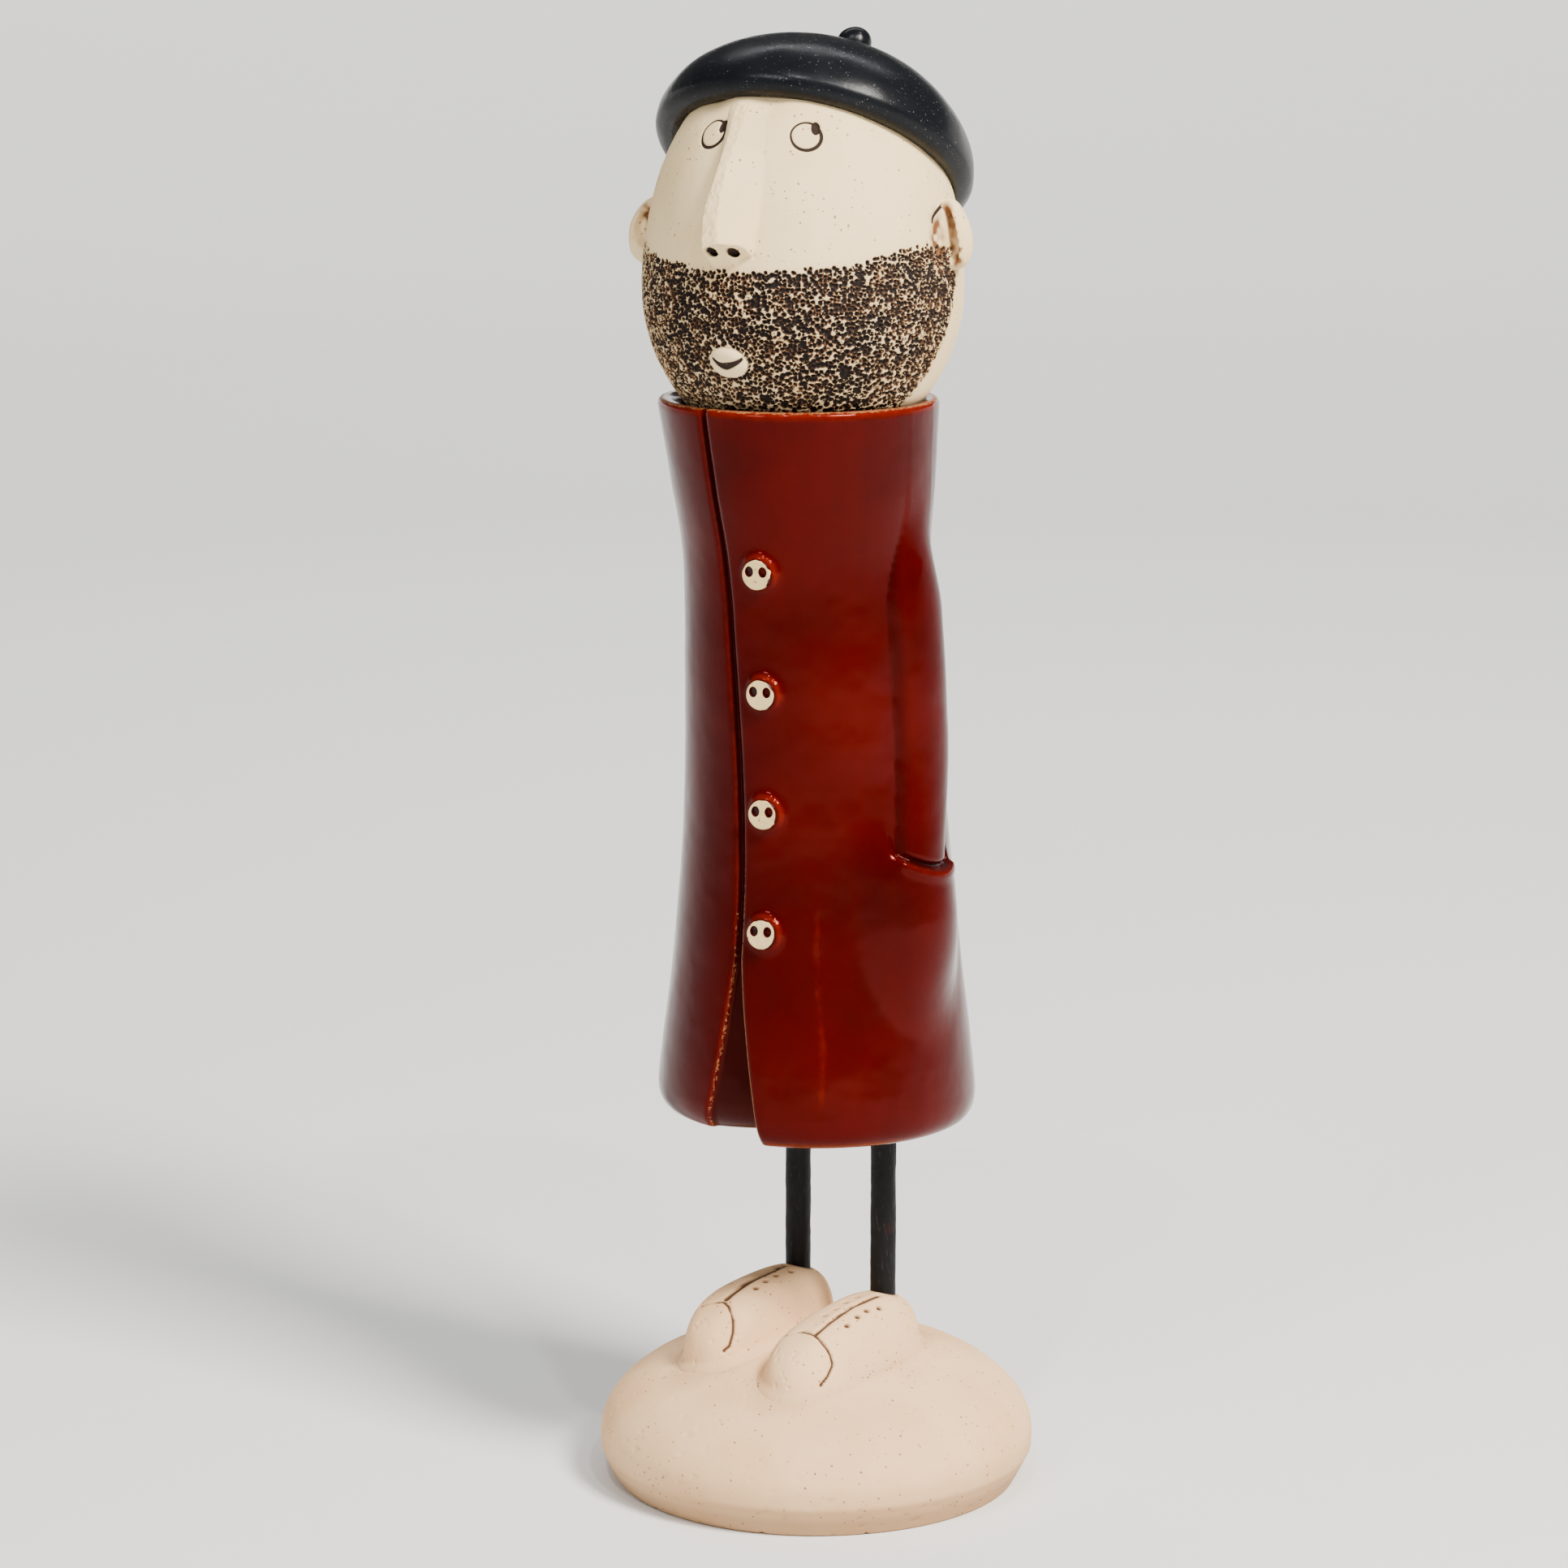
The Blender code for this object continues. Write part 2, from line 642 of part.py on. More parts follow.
# Head and beret
def head_middle():
    """Centre of the head's widest section: the egg rests on the inner edge of the collar's back."""
    shift = Vector((HEAD_SHIFT_LEFT, HEAD_SHIFT_BACK, 0.0))
    seat_radius = inner_radius(COAT_TOP - RIM_ROUNDING) - shift.length - CLEARANCE / 0.6
    drop = HEAD_CHIN * math.sqrt(1.0 - (seat_radius / HEAD_RADIUS) ** 2)
    return coat_axis(COAT_TOP) + shift + Vector((0.0, 0.0, drop - RIM_ROUNDING))


def egg_radius(rise):
    """Radius of the head at a height from its widest section."""
    half = HEAD_CROWN if rise > 0.0 else HEAD_CHIN
    return HEAD_RADIUS * math.sqrt(max(0.0, 1.0 - (rise / half) ** 2))


def egg_mesh(name, growth=0.0):
    """The head's egg, grown evenly by a clearance when it cuts its seat in the beret."""
    rows = 20
    profile = [(0.0, -HEAD_CHIN - growth)]
    for i in range(1, rows):
        angle = math.pi * (i / rows - 0.5)
        half = HEAD_CROWN if angle > 0.0 else HEAD_CHIN
        profile.append(((HEAD_RADIUS + growth) * math.cos(angle), (half + growth) * math.sin(angle)))
    profile.append((0.0, HEAD_CROWN + growth))
    return turned_mesh(name, profile, HEAD_FACETS, Matrix.Translation(head_middle()))


def head_frame(turn, rise, sink=0.0):
    """Frame on the head's surface at a turn from where the face looks."""
    half = HEAD_CROWN if rise > 0.0 else HEAD_CHIN
    away = outward(HEAD_TURN + turn)
    radius = egg_radius(rise)
    slope = rise * HEAD_RADIUS ** 2 / half ** 2
    normal = (away * radius + Vector((0.0, 0.0, slope))).normalized()
    point = head_middle() + away * radius + Vector((0.0, 0.0, rise)) - normal * sink
    return surface_frame(point, normal)


def nose_mesh():
    """Long wedge that starts flush at the brow and ends in a round tip."""
    rings = []
    stations = ((0.0, 0.30, 0.02), (0.25, 0.42, 0.22), (0.5, 0.58, 0.48), (0.75, 0.82, 0.78),
                (0.92, 1.0, 1.0), (0.98, 0.92, 0.86), (1.0, 0.70, 0.62))
    for share, width_share, proud_share in stations:
        rise = mix(NOSE_TOP, NOSE_BOTTOM, share)
        away = outward(HEAD_TURN + mix(NOSE_TOP_TURN, NOSE_TIP_TURN, share))
        across = Vector((-away.y, away.x, 0.0))
        half_width = NOSE_HALF_WIDTH * width_share
        proud = NOSE_PROUD * proud_share
        middle = head_middle() + Vector((0.0, 0.0, rise)) + away * (egg_radius(rise) - NOSE_ROOT_DEPTH)
        ring = []
        for i in range(SMALL_FACETS + 1):
            angle = math.pi * i / SMALL_FACETS
            side = math.cos(angle) * half_width
            front = math.sin(angle) ** 1.3 * (proud + NOSE_ROOT_DEPTH)
            ring.append(middle + across * side + away * front)
        rings.append(ring)
    return loft_mesh("nose", rings)


def ear_meshes(side):
    """An ear that stands out from the head, and the hollow on its front."""
    word, proud = ("left", LEFT_EAR_PROUD) if side > 0 else ("right", RIGHT_EAR_PROUD)
    place = head_frame(EAR_MIDDLE_TURN + side * EAR_HALF_TURN, EAR_HEIGHT)
    ear = ball_mesh(f"ear_{word}", (EAR_THICKNESS, EAR_TALL, 2.0 * proud), 16, place)
    shift = Matrix.Translation((-side * 0.55 * EAR_THICKNESS, 0.0, 0.25 * proud))
    size = (0.9 * EAR_THICKNESS, 0.72 * EAR_TALL, 1.25 * proud)
    hollow = ball_mesh(f"ear_hollow_{word}", size, 12, place @ shift)
    return ear, hollow


def mouth_line_mesh(place):
    """Upturned line pressed into the mouth."""
    rings = []
    steps = 6
    for i in range(steps + 1):
        share = i / steps * 2.0 - 1.0
        middle = Vector((share * 0.42 * MOUTH_WIDTH, MOUTH_CURL * share * share, MOUTH_PROUD))
        half = 0.5 * MOUTH_LINE * (1.0 - 0.6 * share * share)
        ring = []
        for rise, depth in ((-half, OVERCUT), (half, OVERCUT), (half, -MOUTH_LINE_DEPTH), (-half, -MOUTH_LINE_DEPTH)):
            ring.append(place @ (middle + Vector((0.0, rise, depth))))
        rings.append(ring)
    return loft_mesh("mouth_line", rings)


def build_head():
    """Egg-shaped head with nose, ears and mouth modelled on, eyes and nostrils pressed in."""
    head = add_object("head", egg_mesh("head"), clay("face_clay", (0.80, 0.71, 0.56), 0.85))
    ears = [ear_meshes(side) for side in (1, -1)]
    mouth_place = head_frame(math.radians(-3), MOUTH_HEIGHT)
    mouth = ball_mesh("mouth", (MOUTH_WIDTH, MOUTH_TALL, 2.0 * MOUTH_PROUD), 16, mouth_place)
    combine(head, [nose_mesh(), mouth, *(ear for ear, _ in ears)], "UNION")
    cutters = [hollow for _, hollow in ears]
    cutters.append(mouth_line_mesh(mouth_place))
    for side in (1, -1):
        word = "left" if side > 0 else "right"
        eye = head_frame(EYE_MIDDLE_TURN + side * EYE_HALF_TURN, EYE_HEIGHT)
        cutters.append(ring_mesh(f"eye_{word}", 0.5 * (EYE_DIAMETER - EYE_LINE), 0.5 * EYE_LINE, 20, eye))
        reach = 0.5 * (EYE_DIAMETER - PUPIL_DIAMETER) - EYE_LINE - CLEARANCE
        look = Matrix.Translation((reach * math.cos(math.radians(35)), reach * math.sin(math.radians(35)), 0.0))
        cutters.append(rod_mesh(f"pupil_{word}", 0.5 * PUPIL_DIAMETER, -PUPIL_DEPTH, OVERCUT,
                                SMALL_FACETS, eye @ look))
        nostril_rise = NOSE_BOTTOM - OVERCUT
        away = outward(HEAD_TURN + NOSE_TIP_TURN)
        across = Vector((-away.y, away.x, 0.0))
        nostril = head_middle() + away * (egg_radius(NOSE_BOTTOM) + 0.45 * NOSE_PROUD)
        nostril += across * side * 0.5 * NOSTRIL_SPACING + Vector((0.0, 0.0, nostril_rise))
        cutters.append(rod_mesh(f"nostril_{word}", 0.5 * NOSTRIL_DIAMETER, 0.0, OVERCUT + NOSTRIL_DEPTH,
                                SMALL_FACETS, Matrix.Translation(nostril)))
    combine(head, cutters, "DIFFERENCE")


def beret_frame():
    """Frame in the beret's rim plane, its Z axis through the crown."""
    away = outward(BERET_TURN)
    across = Vector((-away.y, away.x, 0.0))
    middle = head_middle() + Vector((0.0, 0.0, BERET_HEIGHT)) - away * BERET_SETBACK + across * BERET_SIDE_SHIFT
    crown = Vector((0.0, 0.0, 1.0)) * math.cos(BERET_TILT) - away * math.sin(BERET_TILT)
    frame = Matrix((across, crown.cross(across), crown)).transposed().to_4x4()
    frame.translation = middle
    return frame


def build_beret():
    """Puffed beret that leans to one side, with a rolled rim and a stub, hollowed to sit on the head."""
    profile = [(0.0, -0.45 * BERET_RIM_DEPTH), (0.74 * BERET_RADIUS, -0.45 * BERET_RIM_DEPTH)]
    for i in range(1, 5):
        angle = math.radians(mix(-115, 0, i / 4))
        reach = BERET_RADIUS - 0.55 * BERET_RIM_DEPTH * (1.0 - math.cos(angle))
        profile.append((reach, 0.55 * BERET_RIM_DEPTH * math.sin(angle)))
    steps = 9
    for i in range(1, steps):
        angle = math.radians(90) * i / steps
        profile.append((BERET_RADIUS * math.cos(angle) ** BERET_TAPER, BERET_DOME * math.sin(angle)))
    profile.append((0.0, BERET_DOME))
    place = beret_frame()
    mesh = turned_mesh("beret", profile, BERET_FACETS)
    for vertex in mesh.vertices:
        vertex.co.x += BERET_LEAN * max(0.0, vertex.co.z / BERET_DOME) ** 2
    mesh.transform(place)
    beret = add_object("beret", mesh, clay("beret_glaze", (0.016, 0.018, 0.024), 0.32, metallic=0.3, coat=0.4))
    stub_share = math.hypot(BERET_STUB_TO_SIDE - BERET_LEAN, BERET_STUB_TO_FRONT) / BERET_RADIUS
    stub_rise = BERET_DOME * math.sqrt(1.0 - stub_share ** (2.0 / BERET_TAPER)) + BERET_STUB_CLEAR
    stub_place = place @ Matrix.Translation((BERET_STUB_TO_SIDE, -BERET_STUB_TO_FRONT, stub_rise))
    size = (2 * BERET_STUB_RADIUS, 2 * BERET_STUB_RADIUS, 2 * BERET_STUB_HEIGHT)
    combine(beret, [ball_mesh("beret_stub", size, 14, stub_place)], "UNION")
    combine(beret, [egg_mesh("beret_seat", growth=CLEARANCE)], "DIFFERENCE")


clear_scene()
build_base()
build_legs()
build_coat()
build_buttons()
build_head()
build_beret()
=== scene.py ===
"""Looks of the ceramic figurine: clay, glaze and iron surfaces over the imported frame.

Lengths are in metres, in the frame's own space: +Z up, the coat's lapped edge faces -Y, and the
figure's left side is +X. An angle called turn is 0 at -Y and grows towards +X.
"""

import math

import bpy
import numpy as np
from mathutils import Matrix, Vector
from mathutils.kdtree import KDTree


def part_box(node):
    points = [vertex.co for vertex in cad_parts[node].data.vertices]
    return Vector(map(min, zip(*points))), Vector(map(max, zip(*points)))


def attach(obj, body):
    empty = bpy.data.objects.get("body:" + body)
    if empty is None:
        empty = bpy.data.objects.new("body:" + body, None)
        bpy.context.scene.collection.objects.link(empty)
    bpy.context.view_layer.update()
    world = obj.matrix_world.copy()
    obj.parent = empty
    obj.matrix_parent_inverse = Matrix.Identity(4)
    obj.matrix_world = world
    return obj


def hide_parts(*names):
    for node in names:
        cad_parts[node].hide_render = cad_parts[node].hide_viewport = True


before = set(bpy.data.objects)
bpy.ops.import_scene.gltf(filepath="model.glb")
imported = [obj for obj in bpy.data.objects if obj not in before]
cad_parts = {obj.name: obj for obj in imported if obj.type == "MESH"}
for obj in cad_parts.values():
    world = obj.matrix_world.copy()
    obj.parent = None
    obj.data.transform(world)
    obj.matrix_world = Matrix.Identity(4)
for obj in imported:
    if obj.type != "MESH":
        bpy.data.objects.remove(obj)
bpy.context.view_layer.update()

# Photograph's camera
CAMERA_TURN = math.radians(38)
CAMERA_DISTANCE = 1.300
CAMERA_HEIGHT = 0.452
AIM_SIDEWAYS = -0.009
AIM_HEIGHT = 0.194
PHOTO_WIDTH = 1932
FOCAL_PIXELS = 6030
SENSOR_WIDTH = 36.0

# Base and shoes
BASE_RADIUS = 0.0600
BASE_FOOT_RADIUS = 0.0552
BASE_RIDGE_HEIGHT = 0.0120
BASE_HEIGHT = 0.0396
BASE_FULLNESS = 0.90
BASE_BAND_HEIGHT = 0.0084
SHOE_LENGTH = 0.0590
SHOE_WIDTH = 0.0255
SHOE_TOP = 0.0530
RIGHT_SHOE_LIFT = 0.0020
SHOE_SUNK_DEPTH = 0.0250
LEFT_SHOE_TOE_DROP = 0.0060
RIGHT_SHOE_TOE_DROP = 0.0028
RIGHT_SHOE_SHORTER = 0.0028
SHOE_HEEL_BEHIND_LEG = 0.0115
SHOE_FILLET = 0.0022
LEG_RADIUS = 0.0036
LEG_SPACING = 0.0298
LEG_SETBACK = 0.0107

# Coat
COAT_BOTTOM = 0.1030
COAT_TOP = 0.2996
COAT_HEIGHT = COAT_TOP - COAT_BOTTOM
COAT_WALL = 0.0045
HEM_RADIUS = 0.0434
SKIRT_RADIUS = 0.0389
HIP_RADIUS = 0.0355
CHEST_RADIUS = 0.0341
WAIST_RADIUS = 0.0334
SHOULDER_RADIUS = 0.0355
COLLAR_RADIUS = 0.0377
HEM_ROUNDING = 0.0045
RIM_ROUNDING = 0.0016
COLLAR_LEAN_FORWARD = 0.0049
COLLAR_LEAN_RIGHT = 0.0028
LEAN_START_HEIGHT = 0.1500
SHELF_UNDERSIDE = COAT_BOTTOM + 0.0480

# Lapped front edge
GROOVE_WIDTH = 0.0022
GROOVE_DEPTH = 0.0024
GROOVE_TURN_AT_COLLAR = math.radians(-4.0)
GROOVE_TURN_AT_FOLD = math.radians(4.6)
FOLD_HEIGHT = 0.0500
FOLD_WIDTH = 0.0175
FOLD_DEPTH_AT_EDGE = 0.0052
FOLD_DEPTH_AT_CREASE = 0.0020
CREASE_SIDE_RISE = 0.0028
FOLD_RISE = 0.0014

# Sleeves and pockets
ARMS_TURN = math.radians(-6)
SLEEVE_HALF_TURN = math.radians(99)
WRIST_HALF_TURN = math.radians(92)
SLEEVE_HALF_WIDTH = 0.0124
SLEEVE_PROUD = 0.0056
SLEEVE_TRIM = 0.0032
WRIST_HALF_WIDTH = 0.0088
SLEEVE_TOP = 0.2860
SLEEVE_BOTTOM = 0.1680
POCKET_HEIGHT = 0.1640
POCKET_HALF_HEIGHT = 0.0360
POCKET_HALF_WIDTH = 0.0240
POCKET_PROUD = 0.0070
POCKET_BLEND = 0.0018

# Buttons
BUTTON_RADIUS = 0.0040
BUTTON_THICKNESS = 0.0032
BUTTON_SEAT_DEPTH = 0.0011
BUTTON_CLEARANCE = 0.0003
BUTTON_TURN = math.radians(16.2)
TOP_BUTTON_HEIGHT = 0.2565
BUTTON_PITCH = 0.0320
BUTTON_COUNT = 4
BUTTON_HOLE_RADIUS = 0.00105
BUTTON_HOLE_SPACING = 0.0038
BUTTON_HOLE_RISE = 0.0008

# Head
HEAD_RADIUS = 0.0428
HEAD_CROWN = 0.0640
HEAD_CHIN = 0.0450
HEAD_TURN = math.radians(15)
HEAD_SHIFT_LEFT = 0.0011
HEAD_SHIFT_BACK = 0.0009
EYE_HEIGHT = 0.0416
EYE_HALF_TURN = math.radians(23.6)
EYE_MIDDLE_TURN = math.radians(0.7)
EYE_RADIUS = 0.0042
PUPIL_RADIUS = 0.0014
NOSE_TOP = 0.0520
NOSE_TOP_TURN = math.radians(-15)
NOSE_TIP_TURN = math.radians(-3)
NOSE_BOTTOM = 0.0150
NOSE_PROUD = 0.0085
NOSTRIL_RADIUS = 0.0013
NOSTRIL_SPACING = 0.0047
MOUTH_HEIGHT = -0.0164
MOUTH_TURN = math.radians(-6)
MOUTH_WIDTH = 0.0112
MOUTH_TALL = 0.0090
MOUTH_PROUD = 0.0016
EAR_HEIGHT = 0.0140
EAR_MIDDLE_TURN = math.radians(3.5)
EAR_TALL = 0.0188
LEFT_EAR_PROUD = 0.0056
RIGHT_EAR_PROUD = 0.0080
EAR_THICKNESS = 0.0070
EAR_HALF_TURN = math.radians(90)
HEAD_SEAM = 0.0086
PIT_SPACING = 0.00132
PIT_DEPTH = 0.00075

# Beret
BERET_RADIUS = 0.0434
BERET_DOME = 0.0294
BERET_RIM_DEPTH = 0.0085
BERET_TAPER = 1.28
BERET_LEAN = 0.0024
BERET_TILT = math.radians(32)
BERET_TURN = math.radians(14.5)
BERET_HEIGHT = 0.0347
BERET_SETBACK = 0.0090
BERET_SIDE_SHIFT = -0.0010
BERET_STUB_RADIUS = 0.0046
BERET_STUB_HEIGHT = 0.0046
BERET_STUB_CLEAR = 0.0004
BERET_STUB_TO_SIDE = 0.0080
BERET_STUB_TO_FRONT = 0.0080


# Numbers in arrays
def smoothstep(value):
    """Ease from 0 to 1, flat at both ends."""
    value = np.clip(value, 0.0, 1.0)
    return value * value * (3.0 - 2.0 * value)


def mix(start, end, share):
    """The value a share of the way from start to end."""
    return start + (end - start) * share


def bump(distance, width):
    """Bell that is 1 at no distance and fades out at about two widths."""
    return np.exp(-((distance / width) ** 2))


def smooth_curve(points, place):
    """Read a smooth curve through (place, value) points, in rising order, at many places."""
    places, values = np.array(points).T
    last = len(places) - 1
    before = np.maximum(np.arange(last + 1) - 1, 0)
    after = np.minimum(np.arange(last + 1) + 1, last)
    slopes = (values[after] - values[before]) / (places[after] - places[before])
    index = np.clip(np.searchsorted(places, place, side="right") - 1, 0, last - 1)
    span = places[index + 1] - places[index]
    share = np.clip((place - places[index]) / span, 0.0, 1.0)
    cubed, squared = share ** 3, share ** 2
    value = (2 * cubed - 3 * squared + 1) * values[index] + (3 * squared - 2 * cubed) * values[index + 1]
    return value + span * ((cubed - 2 * squared + share) * slopes[index] + (cubed - squared) * slopes[index + 1])


def smooth_max(one, other, blend):
    """The larger of two heights, with a fillet of about the blend length between them."""
    share = np.clip(0.5 + 0.5 * (one - other) / blend, 0.0, 1.0)
    return mix(other, one, share) + blend * share * (1.0 - share)


def lattice_value(cell, seed):
    """Fixed scattered value from -1 to 1 for each whole-numbered cell."""
    key = cell[..., 0] * 73856093 ^ cell[..., 1] * 19349663 ^ cell[..., 2] * 83492791 ^ seed * 6542989
    key = (key ^ (key >> 13)) * 1274126177 & 0xFFFFFFFF
    key = (key ^ (key >> 16)) * 73244475 & 0xFFFFFFFF
    return (key ^ (key >> 15)) / 2147483648.0 - 1.0


def noise(points, size, seed):
    """Smooth noise from -1 to 1 whose lumps are about the given size."""
    place = np.asarray(points) / size
    cell = np.floor(place).astype(np.int64)
    share = place - cell
    share = share * share * (3.0 - 2.0 * share)
    total = np.zeros(place.shape[:-1])
    for corner in np.ndindex(2, 2, 2):
        weight = np.ones(place.shape[:-1])
        for axis, step in enumerate(corner):
            weight = weight * (share[..., axis] if step else 1.0 - share[..., axis])
        total += weight * lattice_value(cell + np.array(corner), seed)
    return total


def outward(turn):
    """Level unit vectors that point away from the Z axis."""
    turn = np.asarray(turn, dtype=float)
    return np.stack([np.sin(turn), -np.cos(turn), np.zeros_like(turn)], axis=-1)


def unit(vectors):
    """The vectors scaled to length one."""
    return vectors / np.maximum(np.linalg.norm(vectors, axis=-1, keepdims=True), 1e-12)


def grid_normals(points, closed):
    """Unit normal at each point of a grid of rows, for rows that close on themselves or not."""
    along = np.gradient(points, axis=0)
    if closed:
        around = np.roll(points, -1, axis=1) - np.roll(points, 1, axis=1)
    else:
        around = np.gradient(points, axis=1)
    return unit(np.cross(around, along))


def line_distance(points, line):
    """Distance from each point to a line through corners, in space."""
    nearest = np.full(points.shape[:-1], 1.0)
    for start, end in zip(line, line[1:]):
        start, end = np.array(start), np.array(end)
        step = end - start
        share = np.clip(((points - start) @ step) / (step @ step), 0.0, 1.0)
        gap = np.linalg.norm(points - start - share[..., None] * step, axis=-1)
        nearest = np.minimum(nearest, gap)
    return nearest


# Meshes
def grid_faces(row_count, column_count, closed):
    """Corner numbers of the quads of a grid."""
    rows = np.arange(row_count - 1)[:, None] * column_count
    columns = np.arange(column_count if closed else column_count - 1)[None, :]
    following = (columns + 1) % column_count
    corners = [rows + columns, rows + following, rows + column_count + following, rows + column_count + columns]
    return np.stack(corners, axis=-1).reshape(-1, 4)


def add_piece(name, points, material, node, closed=True, caps=(False, False), marks=None, replaces=True):
    """Mesh object through a grid of points, riding on the frame; marks are named values per point."""
    row_count, column_count = points.shape[:2]
    vertices = points.reshape(-1, 3)
    faces = grid_faces(row_count, column_count, closed).tolist()
    tips = []
    for is_capped, row in zip(caps, (0, row_count - 1)):
        if is_capped:
            tips.append(points[row].mean(axis=0))
            tip = len(vertices) + len(tips) - 1
            for i in range(column_count):
                j = (i + 1) % column_count
                pair = (i, j) if row else (j, i)
                faces.append([row * column_count + pair[0], row * column_count + pair[1], tip])
    if tips:
        vertices = np.concatenate([vertices, np.array(tips)])
    corners = vertices[np.array([face for face in faces if len(face) == 4])]
    normals = np.cross(corners[:, 2] - corners[:, 0], corners[:, 3] - corners[:, 1])
    if np.sum((corners.mean(axis=1) - vertices.mean(axis=0)) * normals) < 0.0:
        faces = [face[::-1] for face in faces]
    mesh = bpy.data.meshes.new(name)
    mesh.from_pydata(vertices.tolist(), [], faces)
    for mark, values in (marks or {}).items():
        layer = mesh.attributes.new(mark, "FLOAT", "POINT")
        full = np.zeros(len(vertices))
        full[: values.size] = values.reshape(-1)
        layer.data.foreach_set("value", full)
    mesh.materials.append(material)
    mesh.shade_smooth()
    piece = bpy.data.objects.new(name, mesh)
    bpy.context.scene.collection.objects.link(piece)
    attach(piece, "root")
    if replaces:
        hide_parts(node)
    return piece


# Materials
class Finish:
    """A Principled material with short calls for its nodes."""

    def __init__(self, name):
        self.material = bpy.data.materials.new(name)
        self.material.use_nodes = True
        self.nodes = self.material.node_tree.nodes
        self.links = self.material.node_tree.links
        self.shader = self.nodes["Principled BSDF"]
        self.place = self.nodes.new("ShaderNodeTexCoord").outputs["Object"]

    def set(self, **values):
        """Set plain numbers or colours on the shader's sockets."""
        for socket, value in values.items():
            self.shader.inputs[socket.replace("_", " ")].default_value = value

    def link(self, source, socket):
        """Feed a shader socket."""
        self.links.new(source, self.shader.inputs[socket])

    def stretched(self, scale):
        """Coordinates scaled by a different amount along each axis."""
        node = self.nodes.new("ShaderNodeMapping")
        node.inputs["Scale"].default_value = scale
        self.links.new(self.place, node.inputs["Vector"])
        return node.outputs["Vector"]

    def noise(self, scale, detail=3.0, roughness=0.5, place=None):
        """Noise of a given fineness, in lumps for each metre."""
        node = self.nodes.new("ShaderNodeTexNoise")
        node.inputs["Scale"].default_value = scale
        node.inputs["Detail"].default_value = detail
        node.inputs["Roughness"].default_value = roughness
        self.links.new(place or self.place, node.inputs["Vector"])
        return node.outputs["Fac"]

    def cells(self, scale, feature="F1", output="Distance"):
        """Scattered cells of a given fineness."""
        node = self.nodes.new("ShaderNodeTexVoronoi")
        node.feature = feature
        node.inputs["Scale"].default_value = scale
        self.links.new(self.place, node.inputs["Vector"])
        return node.outputs[output]

    def mark(self, name):
        """A value that the mesh carries at each point."""
        node = self.nodes.new("ShaderNodeAttribute")
        node.attribute_name = name
        return node.outputs["Fac"]

    def ramp(self, source, stops):
        """Colours or greys at places along a value."""
        node = self.nodes.new("ShaderNodeValToRGB")
        ramp = node.color_ramp
        while len(ramp.elements) < len(stops):
            ramp.elements.new(0.5)
        for element, (place, colour) in zip(ramp.elements, stops):
            element.position = place
            element.color = (*colour, 1.0) if isinstance(colour, tuple) else (colour, colour, colour, 1.0)
        self.links.new(source, node.inputs["Fac"])
        return node.outputs["Color"]

    def blend(self, share, under, over, kind="MIX"):
        """Lay one colour over another by a share."""
        node = self.nodes.new("ShaderNodeMix")
        node.data_type = "RGBA"
        node.blend_type = kind
        for source, socket in ((share, 0), (under, 6), (over, 7)):
            if isinstance(source, (int, float)):
                node.inputs[socket].default_value = source
            elif isinstance(source, tuple):
                node.inputs[socket].default_value = (*source, 1.0)
            else:
                self.links.new(source, node.inputs[socket])
        return node.outputs[2]

    def sum(self, one, other, kind="ADD"):
        """Arithmetic on two values."""
        node = self.nodes.new("ShaderNodeMath")
        node.operation = kind
        for index, source in enumerate((one, other)):
            if isinstance(source, (int, float)):
                node.inputs[index].default_value = source
            else:
                self.links.new(source, node.inputs[index])
        return node.outputs[0]

    def relief(self, height, distance, strength=1.0, under=None):
        """Bump whose height is in metres, laid over another if one is given."""
        node = self.nodes.new("ShaderNodeBump")
        node.inputs["Distance"].default_value = distance
        node.inputs["Strength"].default_value = strength
        self.links.new(height, node.inputs["Height"])
        if under is not None:
            self.links.new(under, node.inputs["Normal"])
        return node.outputs["Normal"]


def bare_clay(name, light, dark, stain_and_shade):
    """Unglazed grogged clay: fine tooth, soft mottling, small dark grog pits, and a per-point mark that darkens it,
    used both for real stains and for painted shade.
    """
    finish = Finish(name)
    mottle = finish.noise(38.0, 4.0)
    colour = finish.blend(finish.ramp(mottle, [(0.35, 0.0), (0.68, 1.0)]), light, dark)
    ragged = finish.sum(finish.sum(finish.noise(1500.0, 2.0), -0.5), 0.45, "MULTIPLY")
    grog = finish.ramp(finish.sum(finish.cells(520.0), ragged), [(0.085, 1.0), (0.150, 0.0)])
    sparse = finish.ramp(finish.noise(150.0, 2.0), [(0.45, 0.0), (0.56, 1.0)])
    specks = finish.sum(grog, sparse, "MULTIPLY")
    colour = finish.blend(finish.sum(specks, 0.72, "MULTIPLY"), colour, stain_and_shade)
    # The mark darkens the clay towards the dark colour: real stains on the head and ears, mostly painted shade on the
    # base and shoes.
    marked_darker = finish.mark("stain_and_shade")
    colour = finish.blend(finish.ramp(marked_darker, [(0.05, 0.0), (0.75, 1.0)]), colour, stain_and_shade)
    finish.link(colour, "Base Color")
    finish.set(Roughness=0.86, Specular_IOR_Level=0.25)
    tooth = finish.relief(finish.noise(2600.0, 3.0, 0.7), 0.00006, 0.9)
    waves = finish.relief(finish.noise(420.0, 4.0, 0.6), 0.00012, 0.8, tooth)
    pits = finish.relief(finish.ramp(specks, [(0.0, 1.0), (1.0, 0.0)]), 0.00025, 1.0, waves)
    finish.link(pits, "Normal")
    return finish


def base_clay():
    """Pale pinkish clay of the base and the shoes."""
    return bare_clay("base_clay", (0.92, 0.60, 0.33), (0.84, 0.51, 0.26), (0.10, 0.045, 0.020)).material


